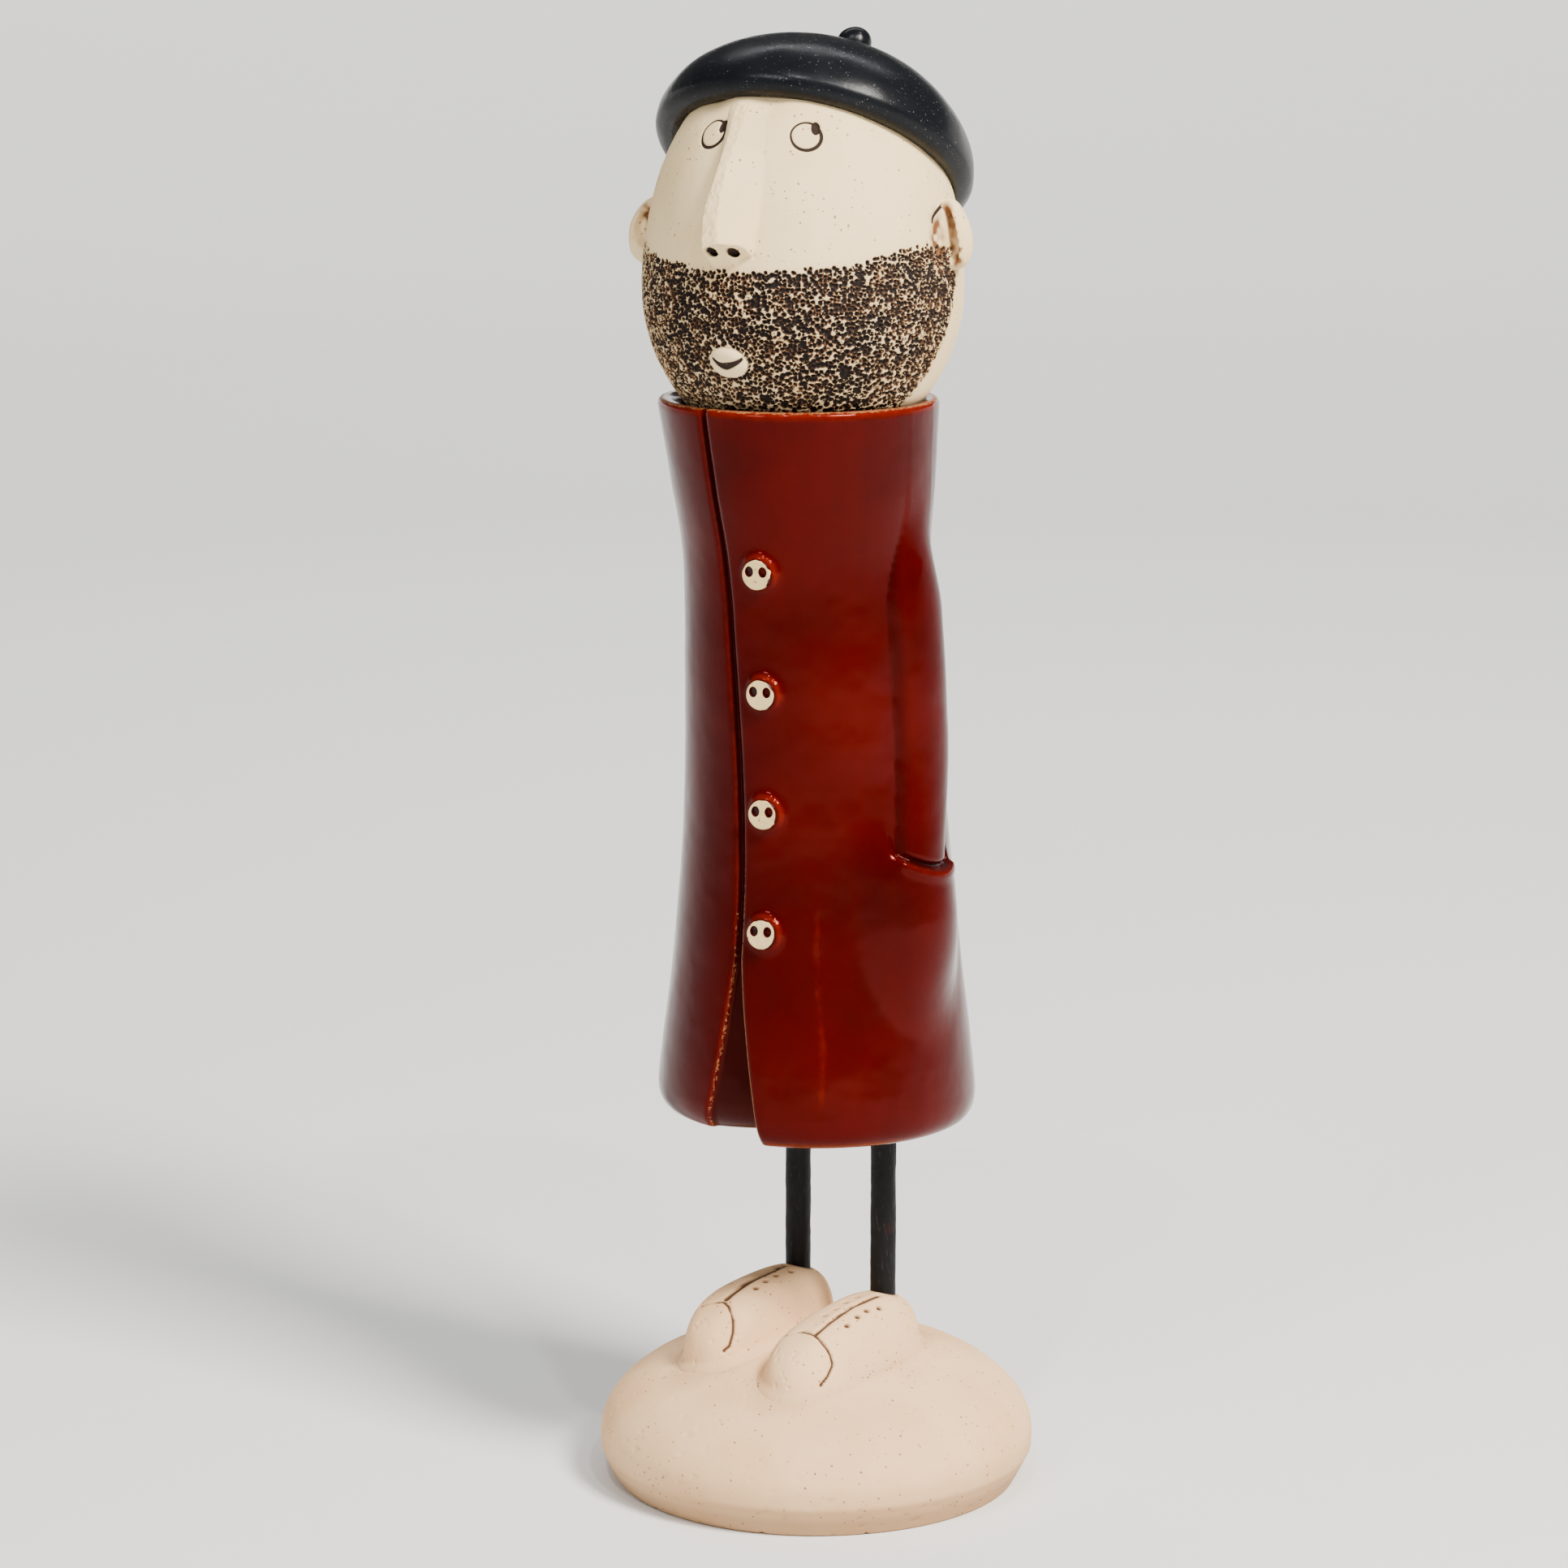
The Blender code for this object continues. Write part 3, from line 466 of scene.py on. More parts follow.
def face_clay():
    """Cream clay of the head, with the beard's pits and the eyes' lines stained dark."""
    finish = bare_clay("face_clay", (0.89, 0.69, 0.39), (0.82, 0.60, 0.31), (0.17, 0.065, 0.020))
    base = finish.shader.inputs["Base Color"].links[0].from_socket
    ragged = finish.sum(finish.sum(finish.noise(2400.0, 2.0), -0.5), 0.5, "MULTIPLY")
    pit = finish.sum(finish.mark("pit"), ragged)
    brown = finish.ramp(pit, [(0.26, 0.0), (0.44, 1.0)])
    black = finish.ramp(pit, [(0.46, 0.0), (0.72, 1.0)])
    tint = finish.ramp(finish.noise(160.0, 2.0), [(0.42, (0.13, 0.055, 0.022)), (0.62, (0.035, 0.016, 0.010))])
    colour = finish.blend(brown, base, tint)
    colour = finish.blend(black, colour, (0.010, 0.006, 0.005))
    line = finish.ramp(finish.mark("line"), [(0.35, 0.0), (0.55, 1.0)])
    colour = finish.blend(line, colour, (0.022, 0.012, 0.008))
    finish.link(colour, "Base Color")
    return finish.material


def button_clay():
    """Bare yellowish clay discs with glaze run into the holes."""
    finish = bare_clay("button_clay", (0.74, 0.55, 0.27), (0.64, 0.45, 0.20), (0.20, 0.05, 0.02))
    base = finish.shader.inputs["Base Color"].links[0].from_socket
    glazed = finish.ramp(finish.mark("glaze"), [(0.30, 0.0), (0.52, 1.0)])
    finish.link(finish.blend(glazed, base, (0.040, 0.0025, 0.0018)), "Base Color")
    finish.link(finish.ramp(finish.mark("glaze"), [(0.30, 0.85), (0.55, 0.12)]), "Roughness")
    return finish.material


def red_glaze():
    """Deep glossy red glaze, thin and orange where it runs off edges, with bare lines along them, painted shade near
    black in its grooves, folds, slits and inside, and a painted highlight along the pocket lips.
    """
    finish = Finish("red_glaze")
    cloud = finish.noise(26.0, 3.0)
    streak = finish.noise(1.0, 3.0, place=finish.stretched((260.0, 260.0, 14.0)))
    depth = finish.sum(finish.sum(cloud, 0.88, "MULTIPLY"), finish.sum(streak, 0.12, "MULTIPLY"))
    colour = finish.ramp(depth, [(0.34, (0.028, 0.0004, 0.0005)), (0.52, (0.045, 0.0005, 0.0006)),
                                 (0.68, (0.056, 0.0007, 0.0007))])
    # Thin glaze at edges turns orange; along the pocket lips the thin mark is also a painted highlight.
    thin = finish.sum(finish.mark("thin"), finish.sum(finish.sum(finish.noise(500.0, 3.0), -0.5), 0.35, "MULTIPLY"))
    colour = finish.blend(finish.ramp(thin, [(0.10, 0.0), (0.90, 1.0)]), colour, (0.18, 0.009, 0.003))
    # Painted shade: near black where the deep mark lies, in grooves, folds, slits and inside the coat.
    deep = finish.ramp(finish.mark("deep"), [(0.0, 0.0), (1.0, 1.0)])
    colour = finish.blend(finish.sum(deep, 0.8, "MULTIPLY"), colour, (0.008, 0.0003, 0.0002))
    broken = finish.sum(finish.mark("bare"), finish.sum(finish.sum(finish.noise(900.0, 3.0, 0.7), -0.5), 1.1, "MULTIPLY"))
    bare = finish.ramp(broken, [(0.45, 0.0), (0.62, 1.0)])
    colour = finish.blend(bare, colour, (0.25, 0.10, 0.035))
    finish.link(colour, "Base Color")
    finish.link(finish.ramp(bare, [(0.0, 0.13), (1.0, 0.55)]), "Roughness")
    finish.set(Specular_Tint=(1.0, 0.10, 0.06, 1.0), IOR=1.31, Coat_Weight=0.08, Coat_Roughness=0.03, Coat_IOR=1.45)
    flow = finish.relief(finish.noise(70.0, 2.0), 0.0008, 0.35)
    orange_peel = finish.relief(finish.noise(900.0, 2.0), 0.00002, 0.5, flow)
    finish.link(orange_peel, "Normal")
    finish.links.new(flow, finish.shader.inputs["Coat Normal"])
    return finish.material


def beret_glaze():
    """Near-black satin glaze with a metallic bloom and fine sparkle."""
    finish = Finish("beret_glaze")
    cloud = finish.noise(30.0, 4.0)
    colour = finish.ramp(cloud, [(0.32, (0.0035, 0.0040, 0.0055)), (0.55, (0.0060, 0.0068, 0.0085)),
                                 (0.72, (0.0110, 0.0100, 0.0100))])
    flecks = finish.ramp(finish.cells(1500.0), [(0.10, 1.0), (0.22, 0.0)])
    rare = finish.ramp(finish.noise(700.0, 2.0), [(0.52, 0.0), (0.62, 1.0)])
    sparkle = finish.sum(flecks, rare, "MULTIPLY")
    colour = finish.blend(finish.sum(sparkle, 0.55, "MULTIPLY"), colour, (0.30, 0.31, 0.34))
    finish.link(colour, "Base Color")
    gloss = finish.ramp(finish.noise(90.0, 4.0), [(0.35, 0.22), (0.65, 0.32)])
    finish.link(finish.blend(sparkle, gloss, (0.16, 0.16, 0.16)), "Roughness")
    finish.set(IOR=1.23, Coat_Weight=0.0)
    grain = finish.relief(finish.noise(1800.0, 3.0, 0.7), 0.00004, 0.8)
    waves = finish.relief(finish.noise(200.0, 3.0), 0.00012, 0.5, grain)
    finish.link(waves, "Normal")
    return finish.material


def black_iron():
    """Blackened iron rod with dusty scuffs and a trace of rust."""
    finish = Finish("black_iron")
    scuffs = finish.noise(1.0, 5.0, 0.7, finish.stretched((900.0, 900.0, 160.0)))
    colour = finish.blend(finish.ramp(scuffs, [(0.56, 0.0), (0.74, 1.0)]), (0.0035, 0.0035, 0.0038), (0.035, 0.034, 0.036))
    rust = finish.ramp(finish.noise(120.0, 4.0), [(0.64, 0.0), (0.74, 1.0)])
    colour = finish.blend(finish.sum(rust, 0.5, "MULTIPLY"), colour, (0.022, 0.005, 0.003))
    finish.link(colour, "Base Color")
    finish.link(finish.ramp(scuffs, [(0.4, 0.42), (0.7, 0.68)]), "Roughness")
    finish.set(Specular_IOR_Level=0.14)
    lumps = finish.relief(finish.noise(260.0, 4.0, 0.6), 0.0003, 0.7)
    grain = finish.relief(finish.noise(1800.0, 3.0), 0.00006, 0.8, lumps)
    finish.link(grain, "Normal")
    return finish.material


# Base and shoes
def base_rise(x, y):
    """Height of the pebble's upper surface above the floor."""
    reach = np.clip(np.hypot(x, y) / BASE_RADIUS, 0.0, 1.0)
    crown = BASE_HEIGHT - BASE_RIDGE_HEIGHT
    return BASE_RIDGE_HEIGHT + crown * np.sqrt(1.0 - reach ** (2.0 / BASE_FULLNESS))


def pebble_profile():
    """Outline of the base as (radius, height), from the middle of the foot to the middle of the top."""
    foot = [(share * BASE_FOOT_RADIUS, 0.0) for share in np.linspace(0.02, 0.985, 12)]
    flare = BASE_RADIUS - BASE_FOOT_RADIUS
    band = []
    for slope in np.radians(np.concatenate([[6, 12, 20], np.linspace(28, 88, 19)])):
        band.append((BASE_FOOT_RADIUS + flare * math.sin(slope), BASE_RIDGE_HEIGHT * (1.0 - math.cos(slope))))
    crown = BASE_HEIGHT - BASE_RIDGE_HEIGHT
    top = []
    for slope in np.radians(np.linspace(0, 89, 88)):
        top.append((BASE_RADIUS * math.cos(slope) ** BASE_FULLNESS, BASE_RIDGE_HEIGHT + crown * math.sin(slope)))
    return np.array(foot + band + top)


def grog_pits(points, normals, count, size, depth, seed):
    """Push single dimples into a surface at scattered points."""
    chance = np.random.default_rng(seed)
    flat = points.reshape(-1, 3)
    tree = KDTree(len(flat))
    for index, point in enumerate(flat):
        tree.insert(point, index)
    tree.balance()
    drop = np.zeros(len(flat))
    for centre in flat[chance.integers(0, len(flat), count)]:
        width = size * chance.uniform(0.7, 1.5)
        for _, index, gap in tree.find_range(Vector(centre), width):
            drop[index] = max(drop[index], depth * (1.0 - (gap / width) ** 2))
    return points - normals * drop.reshape(points.shape[:-1])[..., None]


def build_base(material):
    """Pebble with a trimmed lower edge and small pits, its clay darkened by painted shade round the shoes and towards
    the bottom.
    """
    profile = pebble_profile()
    turns = np.linspace(0.0, math.tau, 380, endpoint=False)
    radius = profile[:, None, 0] + 0.0 * turns
    height = profile[:, None, 1] + 0.0 * turns
    share = np.clip(height / BASE_BAND_HEIGHT, 0.0, 1.0)
    trimmed = mix(BASE_FOOT_RADIUS, BASE_RADIUS - 0.0002, share)
    cut = mix(0.62, 1.0, 0.5 + 0.5 * np.sin(turns - CAMERA_TURN)) * (height < BASE_BAND_HEIGHT) * (radius > BASE_FOOT_RADIUS)
    radius = mix(radius, np.minimum(radius, trimmed), cut)
    points = outward(turns) * radius[..., None]
    points[..., 2] = height
    normals = grid_normals(points, True)
    away = smoothstep((height - 0.002) / 0.010)
    wobble = 0.00025 * (noise(points, 0.030, 11) - 1.0) + 0.00007 * noise(points, 0.007, 12)
    points = points + normals * (wobble * away)[..., None]
    points = grog_pits(points, normals, 520, 0.0007, 0.00040, 5)
    shoes = [shoe_outline_gap(points, place) for place in (0.5 * LEG_SPACING, -0.5 * LEG_SPACING)]
    # Painted shade: darker round the shoes' footing and along the band's edge, then over the trimmed band and towards
    # the bottom.
    painted_shade = 0.20 * bump(np.minimum(*shoes), 0.0032) + 0.10 * bump(height - BASE_BAND_HEIGHT + 0.001, 0.0012)
    painted_shade = painted_shade + 0.22 * smoothstep((BASE_BAND_HEIGHT - height) / 0.005) + 0.20 * smoothstep((0.020 - height) / 0.014)
    add_piece("base_pebble", points, material, "base", caps=(True, True), marks={"stain_and_shade": painted_shade})


def shoe_outline_gap(points, place):
    """Rough level distance from a shoe's side."""
    middle = LEG_SETBACK + SHOE_HEEL_BEHIND_LEG - 0.5 * SHOE_LENGTH
    share = np.hypot((points[..., 0] - place) / (0.5 * SHOE_WIDTH), (points[..., 1] - middle) / (0.5 * SHOE_LENGTH))
    return np.abs(share - 1.0) * 0.5 * SHOE_WIDTH


def shoe_points(place, length, lift, toe_drop):
    """Grid over one shoe, heel to toe, with a skirt that runs out into the pebble."""
    along = -np.cos(np.linspace(0.0, math.pi, 190))[:, None]
    angle = np.linspace(0.0, math.pi, 120)[None, :]
    toe_share = 0.5 * (1.0 + along)
    roundness = (1.0 - np.abs(along * 0.9995) ** 3.0) ** (1.0 / 2.4)
    half_width = 0.5 * SHOE_WIDTH * roundness * mix(0.90, 1.0, toe_share)
    swell = (roundness - roundness.min()) / (1.0 - roundness.min())
    rise = (SHOE_SUNK_DEPTH - toe_drop * toe_share ** 2.0) * (0.05 + 0.95 * swell ** 0.60)
    across = np.sign(np.cos(angle)) * np.abs(np.cos(angle)) ** 0.75 * half_width
    up = SHOE_TOP - SHOE_SUNK_DEPTH + lift + rise * np.sin(angle) ** 0.75
    heel = LEG_SETBACK + SHOE_HEEL_BEHIND_LEG
    y = heel - length * toe_share + 0.0 * angle
    x = place + across
    clear = (up - base_rise(x, y)) / SHOE_FILLET
    spread = np.where(clear > 0.0, np.clip(1.0 - clear, 0.0, 1.0) ** 2.4, 1.0 - 0.6 * clear)
    reach = 0.75 * SHOE_FILLET * np.clip(spread, 0.0, 1.35)
    middle = heel - 0.5 * length
    side = unit(np.stack([(x - place) / SHOE_WIDTH ** 2, (y - middle) / length ** 2, 0.0 * x], axis=-1))
    points = np.stack([x, y, up], axis=-1) + side * reach[..., None]
    fall = base_rise(x, y) - base_rise(points[..., 0], points[..., 1])
    points[..., 2] -= fall * np.clip(1.0 - clear, 0.0, 1.0)
    return points


def drape(points, line):
    """Lift the corners of a line that is given from above onto the highest surface there."""
    flat = points.reshape(-1, 3)
    draped = []
    for x, y in line:
        gap = np.hypot(flat[:, 0] - x, flat[:, 1] - y)
        draped.append(flat[np.argmax(flat[:, 2] - 1000.0 * np.clip(gap - 0.0006, 0.0, None))])
    return draped


def snap(points, line):
    """Move each corner of a line to the nearest point of a surface."""
    flat = points.reshape(-1, 3)
    return [flat[np.argmin(np.linalg.norm(flat - corner, axis=1))] for corner in line]


def build_shoe(word, place, shape, seam, cap, holes, seam_width, material):
    """Shoe with its pressed seam, toe cap and lace holes, given as points relative to the leg, and painted shade at
    its footing and round the rod.
    """
    points = shoe_points(place, *shape)
    normals = grid_normals(points, False)
    if normals[95, 60, 2] < 0.0:
        normals = -normals
    at = np.array([place, 0.0])
    seam_gap = line_distance(points, drape(points, np.array(seam) + at))
    cap_gap = line_distance(points, snap(points, np.array(cap) + np.array([place, 0.0, 0.0])))
    groove = np.maximum(bump(seam_gap, seam_width), 0.9 * bump(cap_gap, 0.00056))
    ridge = 0.5 * bump(seam_gap - 2.4 * seam_width, 0.0008) + 0.4 * bump(cap_gap - 0.0011, 0.0007)
    hole = np.zeros(points.shape[:-1])
    for x, y in holes:
        centre = drape(points, [(place + x, y)])[0]
        offset = points - centre
        gap = np.hypot(np.hypot(offset[..., 0], offset[..., 2]) / 0.9, offset[..., 1] / 1.3)
        hole = np.maximum(hole, smoothstep((0.00100 - gap) / 0.0005))
    wobble = 0.00020 * noise(points, 0.016, 21) + 0.00006 * noise(points, 0.005, 22)
    depth = 0.0008 * groove + 0.0011 * hole - 0.00022 * ridge
    points = points + normals * (wobble - depth)[..., None]
    points = grog_pits(points, normals, 60, 0.0006, 0.0003, 6 + int(place > 0))
    rod_gap = np.hypot(points[..., 0] - place, points[..., 1] - LEG_SETBACK) - LEG_RADIUS
    # Darker along the pressed seam and cap line and in the lace holes.
    stain_and_shade = np.maximum(0.95 * smoothstep((groove - 0.30) / 0.5), 0.90 * hole)
    # Painted shade where the shoe meets the pebble.
    contact = np.clip(points[..., 2] - base_rise(points[..., 0], points[..., 1]), 0.0, None)
    stain_and_shade = np.maximum(stain_and_shade, 0.16 * bump(contact, 0.0022))
    # Painted shadow in the gap round the rod where it enters the shoe.
    stain_and_shade = np.maximum(stain_and_shade, 0.45 * bump(np.clip(rod_gap, 0.0, None), 0.0007))
    add_piece(f"shoe_{word}", points, material, "base", closed=False, marks={"stain_and_shade": stain_and_shade})


def build_shoes(material):
    """Both shoes, the figure's left first."""
    left_cap = [(-0.0065, -0.0262, 0.0462), (0.0, -0.0243, 0.0484), (0.0031, -0.0242, 0.0484),
                (0.0067, -0.0245, 0.0465), (0.0089, -0.0241, 0.0434), (0.0100, -0.0245, 0.0407),
                (0.0104, -0.0268, 0.0385), (0.0100, -0.0295, 0.0362)]
    left_seam = [(0.0030, 0.0055), (0.0031, -0.0020), (0.0029, -0.0069), (0.0034, -0.0131), (0.0036, -0.0240)]
    left_holes = [(0.0072, -0.0139), (0.0064, -0.0089), (0.0062, -0.0042), (0.0070, 0.0008),
                  (-0.0004, -0.0150), (-0.0008, -0.0103), (-0.0010, -0.0056), (-0.0010, -0.0008)]
    build_shoe("left", 0.5 * LEG_SPACING, (SHOE_LENGTH, 0.0, LEFT_SHOE_TOE_DROP), left_seam, left_cap, left_holes,
               0.00060, material)
    right_cap = [(-0.0045, -0.0262, 0.0488), (0.0015, -0.0238, 0.0503), (0.0035, -0.0245, 0.0499),
                 (0.0068, -0.0264, 0.0473), (0.0081, -0.0280, 0.0445), (0.0083, -0.0298, 0.0415), (0.0077, -0.0314, 0.0400)]
    right_seam = [(-0.0001, 0.0060), (0.0003, -0.0018), (0.0002, -0.0087), (0.0009, -0.0162), (0.0016, -0.0236)]
    right_holes = [(0.0046, -0.0137), (0.0040, -0.0087), (0.0037, -0.0036), (0.0042, 0.0027),
                   (-0.0040, -0.0150), (-0.0045, -0.0095), (-0.0045, -0.0040)]
    shape = (SHOE_LENGTH - RIGHT_SHOE_SHORTER, RIGHT_SHOE_LIFT, RIGHT_SHOE_TOE_DROP)
    build_shoe("right", -0.5 * LEG_SPACING, shape, right_seam, right_cap, right_holes, 0.00080, material)


# Legs
def build_legs(material):
    """Rods whose black coat is a little lumpy."""
    for word, place in (("left", 0.5 * LEG_SPACING), ("right", -0.5 * LEG_SPACING)):
        node = f"leg_{word}"
        low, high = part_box(node)
        heights = np.linspace(low.z, high.z, 170)[:, None]
        turns = np.linspace(0.0, math.tau, 44, endpoint=False)[None, :]
        points = outward(turns) * LEG_RADIUS + 0.0 * heights[..., None]
        points[..., 0] += place
        points[..., 1] += LEG_SETBACK
        points[..., 2] = heights + 0.0 * turns
        away = outward(turns) + 0.0 * heights[..., None]
        lumps = 0.00012 * (noise(points, 0.0060, 31) - 0.5) + 0.00006 * noise(points, 0.0018, 32)
        points = points + away * lumps[..., None]
        add_piece(f"rod_{word}", points, material, node, caps=(True, True))


# Coat
def coat_axis(height):
    """Centre of the coat's section, which leans as it rises."""
    share = np.clip((height - LEAN_START_HEIGHT) / (COAT_TOP - LEAN_START_HEIGHT), 0.0, None) ** 1.7
    return np.stack([-COLLAR_LEAN_RIGHT * share, -COLLAR_LEAN_FORWARD * share, height + 0.0 * share], axis=-1)


def coat_radius(height):
    """Outer radius of the coat without its folds."""
    stations = ((0.00, HEM_RADIUS - 0.0006), (0.04, HEM_RADIUS), (0.24, SKIRT_RADIUS), (0.44, HIP_RADIUS),
                (0.64, CHEST_RADIUS), (0.79, WAIST_RADIUS), (0.89, SHOULDER_RADIUS), (1.00, COLLAR_RADIUS))
    return smooth_curve(stations, (height - COAT_BOTTOM) / COAT_HEIGHT)


def fold_edges(height):
    """Turns of the crease and of the flap's free edge."""
    fold_top = COAT_BOTTOM + FOLD_HEIGHT
    upper = smoothstep((height - fold_top) / (COAT_TOP - fold_top))
    lower = np.clip((fold_top - height) / FOLD_HEIGHT, 0.0, None)
    middle = mix(GROOVE_TURN_AT_FOLD, GROOVE_TURN_AT_COLLAR, upper ** 1.3) + math.radians(1.2) * lower
    width = mix(GROOVE_WIDTH, FOLD_WIDTH, lower ** 1.25)
    half_turn = 0.5 * width / coat_radius(height)
    return middle - half_turn, middle + half_turn


def coat_turns(heights):
    """Turns of each row's points, close together at the crease, the flap's edge and the buttons."""
    crease, edge = fold_edges(heights)
    radius = coat_radius(heights)
    near = np.array([-1.8, -1.2, -0.8, -0.5, -0.28, -0.10, 0.10, 0.30]) * 0.001
    columns = [crease + gap / radius for gap in near]
    floor_start, floor_end = columns[-1], edge - 0.00030 / radius
    columns.extend(mix(floor_start, floor_end, share) for share in np.linspace(0.0, 1.0, 9)[1:])
    columns.extend(edge - gap / radius for gap in near[::-1][1:])
    start = columns[-1]
    span = crease + near[0] / radius + math.tau - start
    steps = np.concatenate([np.full(34, 0.42), np.full(225, 1.0)])
    shares = np.cumsum(steps) / (steps.sum() + 1.0)
    columns.extend(start + span * share for share in shares)
    return np.stack(columns, axis=-1)


def fold_drop(height, turn):
    """How deep the surface lies in the groove or the fold, and how far each point is from the two edges."""
    crease, edge = fold_edges(height)
    radius = coat_radius(height)
    share = smoothstep((COAT_BOTTOM + FOLD_HEIGHT - height) / FOLD_HEIGHT)
    at_crease = mix(GROOVE_DEPTH, FOLD_DEPTH_AT_CREASE, share)
    at_edge = mix(GROOVE_DEPTH, FOLD_DEPTH_AT_EDGE, share)
    turn = np.where(turn > math.pi, turn - math.tau, turn)
    from_crease = (turn - crease) * radius
    from_edge = (edge - turn) * radius
    across = np.clip((turn - crease) / (edge - crease), 0.0, 1.0)
    floor = mix(at_crease, at_edge, across ** 1.3)
    wall = smoothstep((from_crease + 0.00012) / 0.00040) * smoothstep((from_edge + 0.00012) / 0.00040)
    rounding = 0.00035 * (bump(from_crease, 0.0006) + bump(from_edge, 0.0006)) * (1.0 - wall)
    return floor * wall + rounding, from_crease, from_edge, wall


def hem_shift(height, turn):
    """Rise of the hem on the crease side and in the fold; the flap hangs lowest."""
    near_hem = 1.0 - smoothstep((height - COAT_BOTTOM) / 0.030)
    crease, edge = fold_edges(height)
    turn = np.where(turn > edge + math.pi, turn - math.tau, turn)
    in_fold = CREASE_SIDE_RISE + FOLD_RISE * (turn - crease) / (edge - crease)
    behind = np.where(turn <= crease, crease - turn, math.tau + crease - turn)
    beside = CREASE_SIDE_RISE * (1.0 - smoothstep((behind - math.radians(50)) / math.radians(130)))
    inside = (turn > crease) & (turn < edge)
    return near_hem * np.where(inside, in_fold, beside)


def turn_gap(turn, middle):
    """Signed turn from a middle, the short way round."""
    return (turn - middle + math.pi) % math.tau - math.pi


def arm_heights(side, height, turn, radius):
    """Sleeve's outer radius and pocket's swelling on one side, with marks for their grooves and lips: painted shade in
    the grooves and the slit, and a painted highlight along the lip.
    """
    root = radius - 0.25 * COAT_WALL
    share = (SLEEVE_TOP - height) / (SLEEVE_TOP - SLEEVE_BOTTOM)
    growth = smoothstep(share / 0.36)
    taper = smoothstep((share - 0.62) / 0.38)
    trim = mix(0.0090, SLEEVE_TRIM, smoothstep((share - 0.10) / 0.24)) * (1.0 - 0.6 * taper)
    half_width = mix(SLEEVE_HALF_WIDTH, WRIST_HALF_WIDTH, taper) - 0.5 * trim
    proud = mix(-0.6 * COAT_WALL, SLEEVE_PROUD, growth) * mix(1.0, 0.9, taper)
    middle = ARMS_TURN + side * (mix(SLEEVE_HALF_TURN, WRIST_HALF_TURN, taper) + 0.5 * trim / radius)
    across = turn_gap(turn, middle) * radius / half_width
    arch = np.clip(1.0 - across ** 2, 0.0, 1.0) ** mix(0.8, 0.425, growth)
    arch = arch * (height > SLEEVE_BOTTOM - 0.006)
    soft = mix(0.0030, 0.0011, smoothstep((share - 0.08) / 0.26))
    present = smoothstep(arch / 0.4)
    sleeve = root + (proud + 0.25 * COAT_WALL) * arch - 1.3 * soft * (1.0 - present)
    pocket_offset = turn_gap(turn, ARMS_TURN + side * WRIST_HALF_TURN) * radius
    rise = (height - POCKET_HEIGHT) / POCKET_HALF_HEIGHT
    lip = POCKET_HEIGHT + 0.0124 + 0.20 * np.clip(-side * pocket_offset, -0.010, 0.012)
    lip = lip + 0.0016 * np.clip(np.abs(across), 0.0, 1.4) ** 2
    mouth = smoothstep((1.45 - np.abs(across)) / 0.35)
    step = mix(0.0160, 0.0014, mouth)
    below_lip = 1.0 - smoothstep((height - lip + 0.5 * (step - 0.0014)) / step)
    spread = pocket_offset / POCKET_HALF_WIDTH
    swell = np.clip(1.0 - spread ** 2 - np.where(rise > 0.0, 0.16, 1.0) * rise ** 2, 0.0, 1.0) ** 2.3 * below_lip
    roll = 0.0005 * bump(height - lip + 0.0014, 0.0015) * mouth
    inside_lip = smoothstep((1.18 - np.abs(across)) / 0.15)
    crack = bump(height - lip - 0.0008, 0.0009) * inside_lip
    above_lip = smoothstep((height - lip + 0.002) / 0.006) * smoothstep((share - 0.13) / 0.12)
    front_groove = bump(-side * across - 1.0, 0.075) * above_lip
    back_groove = 0.5 * bump(side * across - 1.0, 0.10) * above_lip
    # Painted highlight along the pocket lip.
    lip_highlight = bump(height - lip + 0.0006, 0.0014) * mouth
    return sleeve, soft, POCKET_PROUD * swell + roll, np.maximum(front_groove, back_groove), crack, lip_highlight


def button_spot(index):
    """Height of a button, and the lean of the coat's surface there."""
    height = TOP_BUTTON_HEIGHT - BUTTON_PITCH * index
    step = 0.001
    lean = (coat_radius(height - step) - coat_radius(height + step)) / (2 * step)
    return height, float(lean)


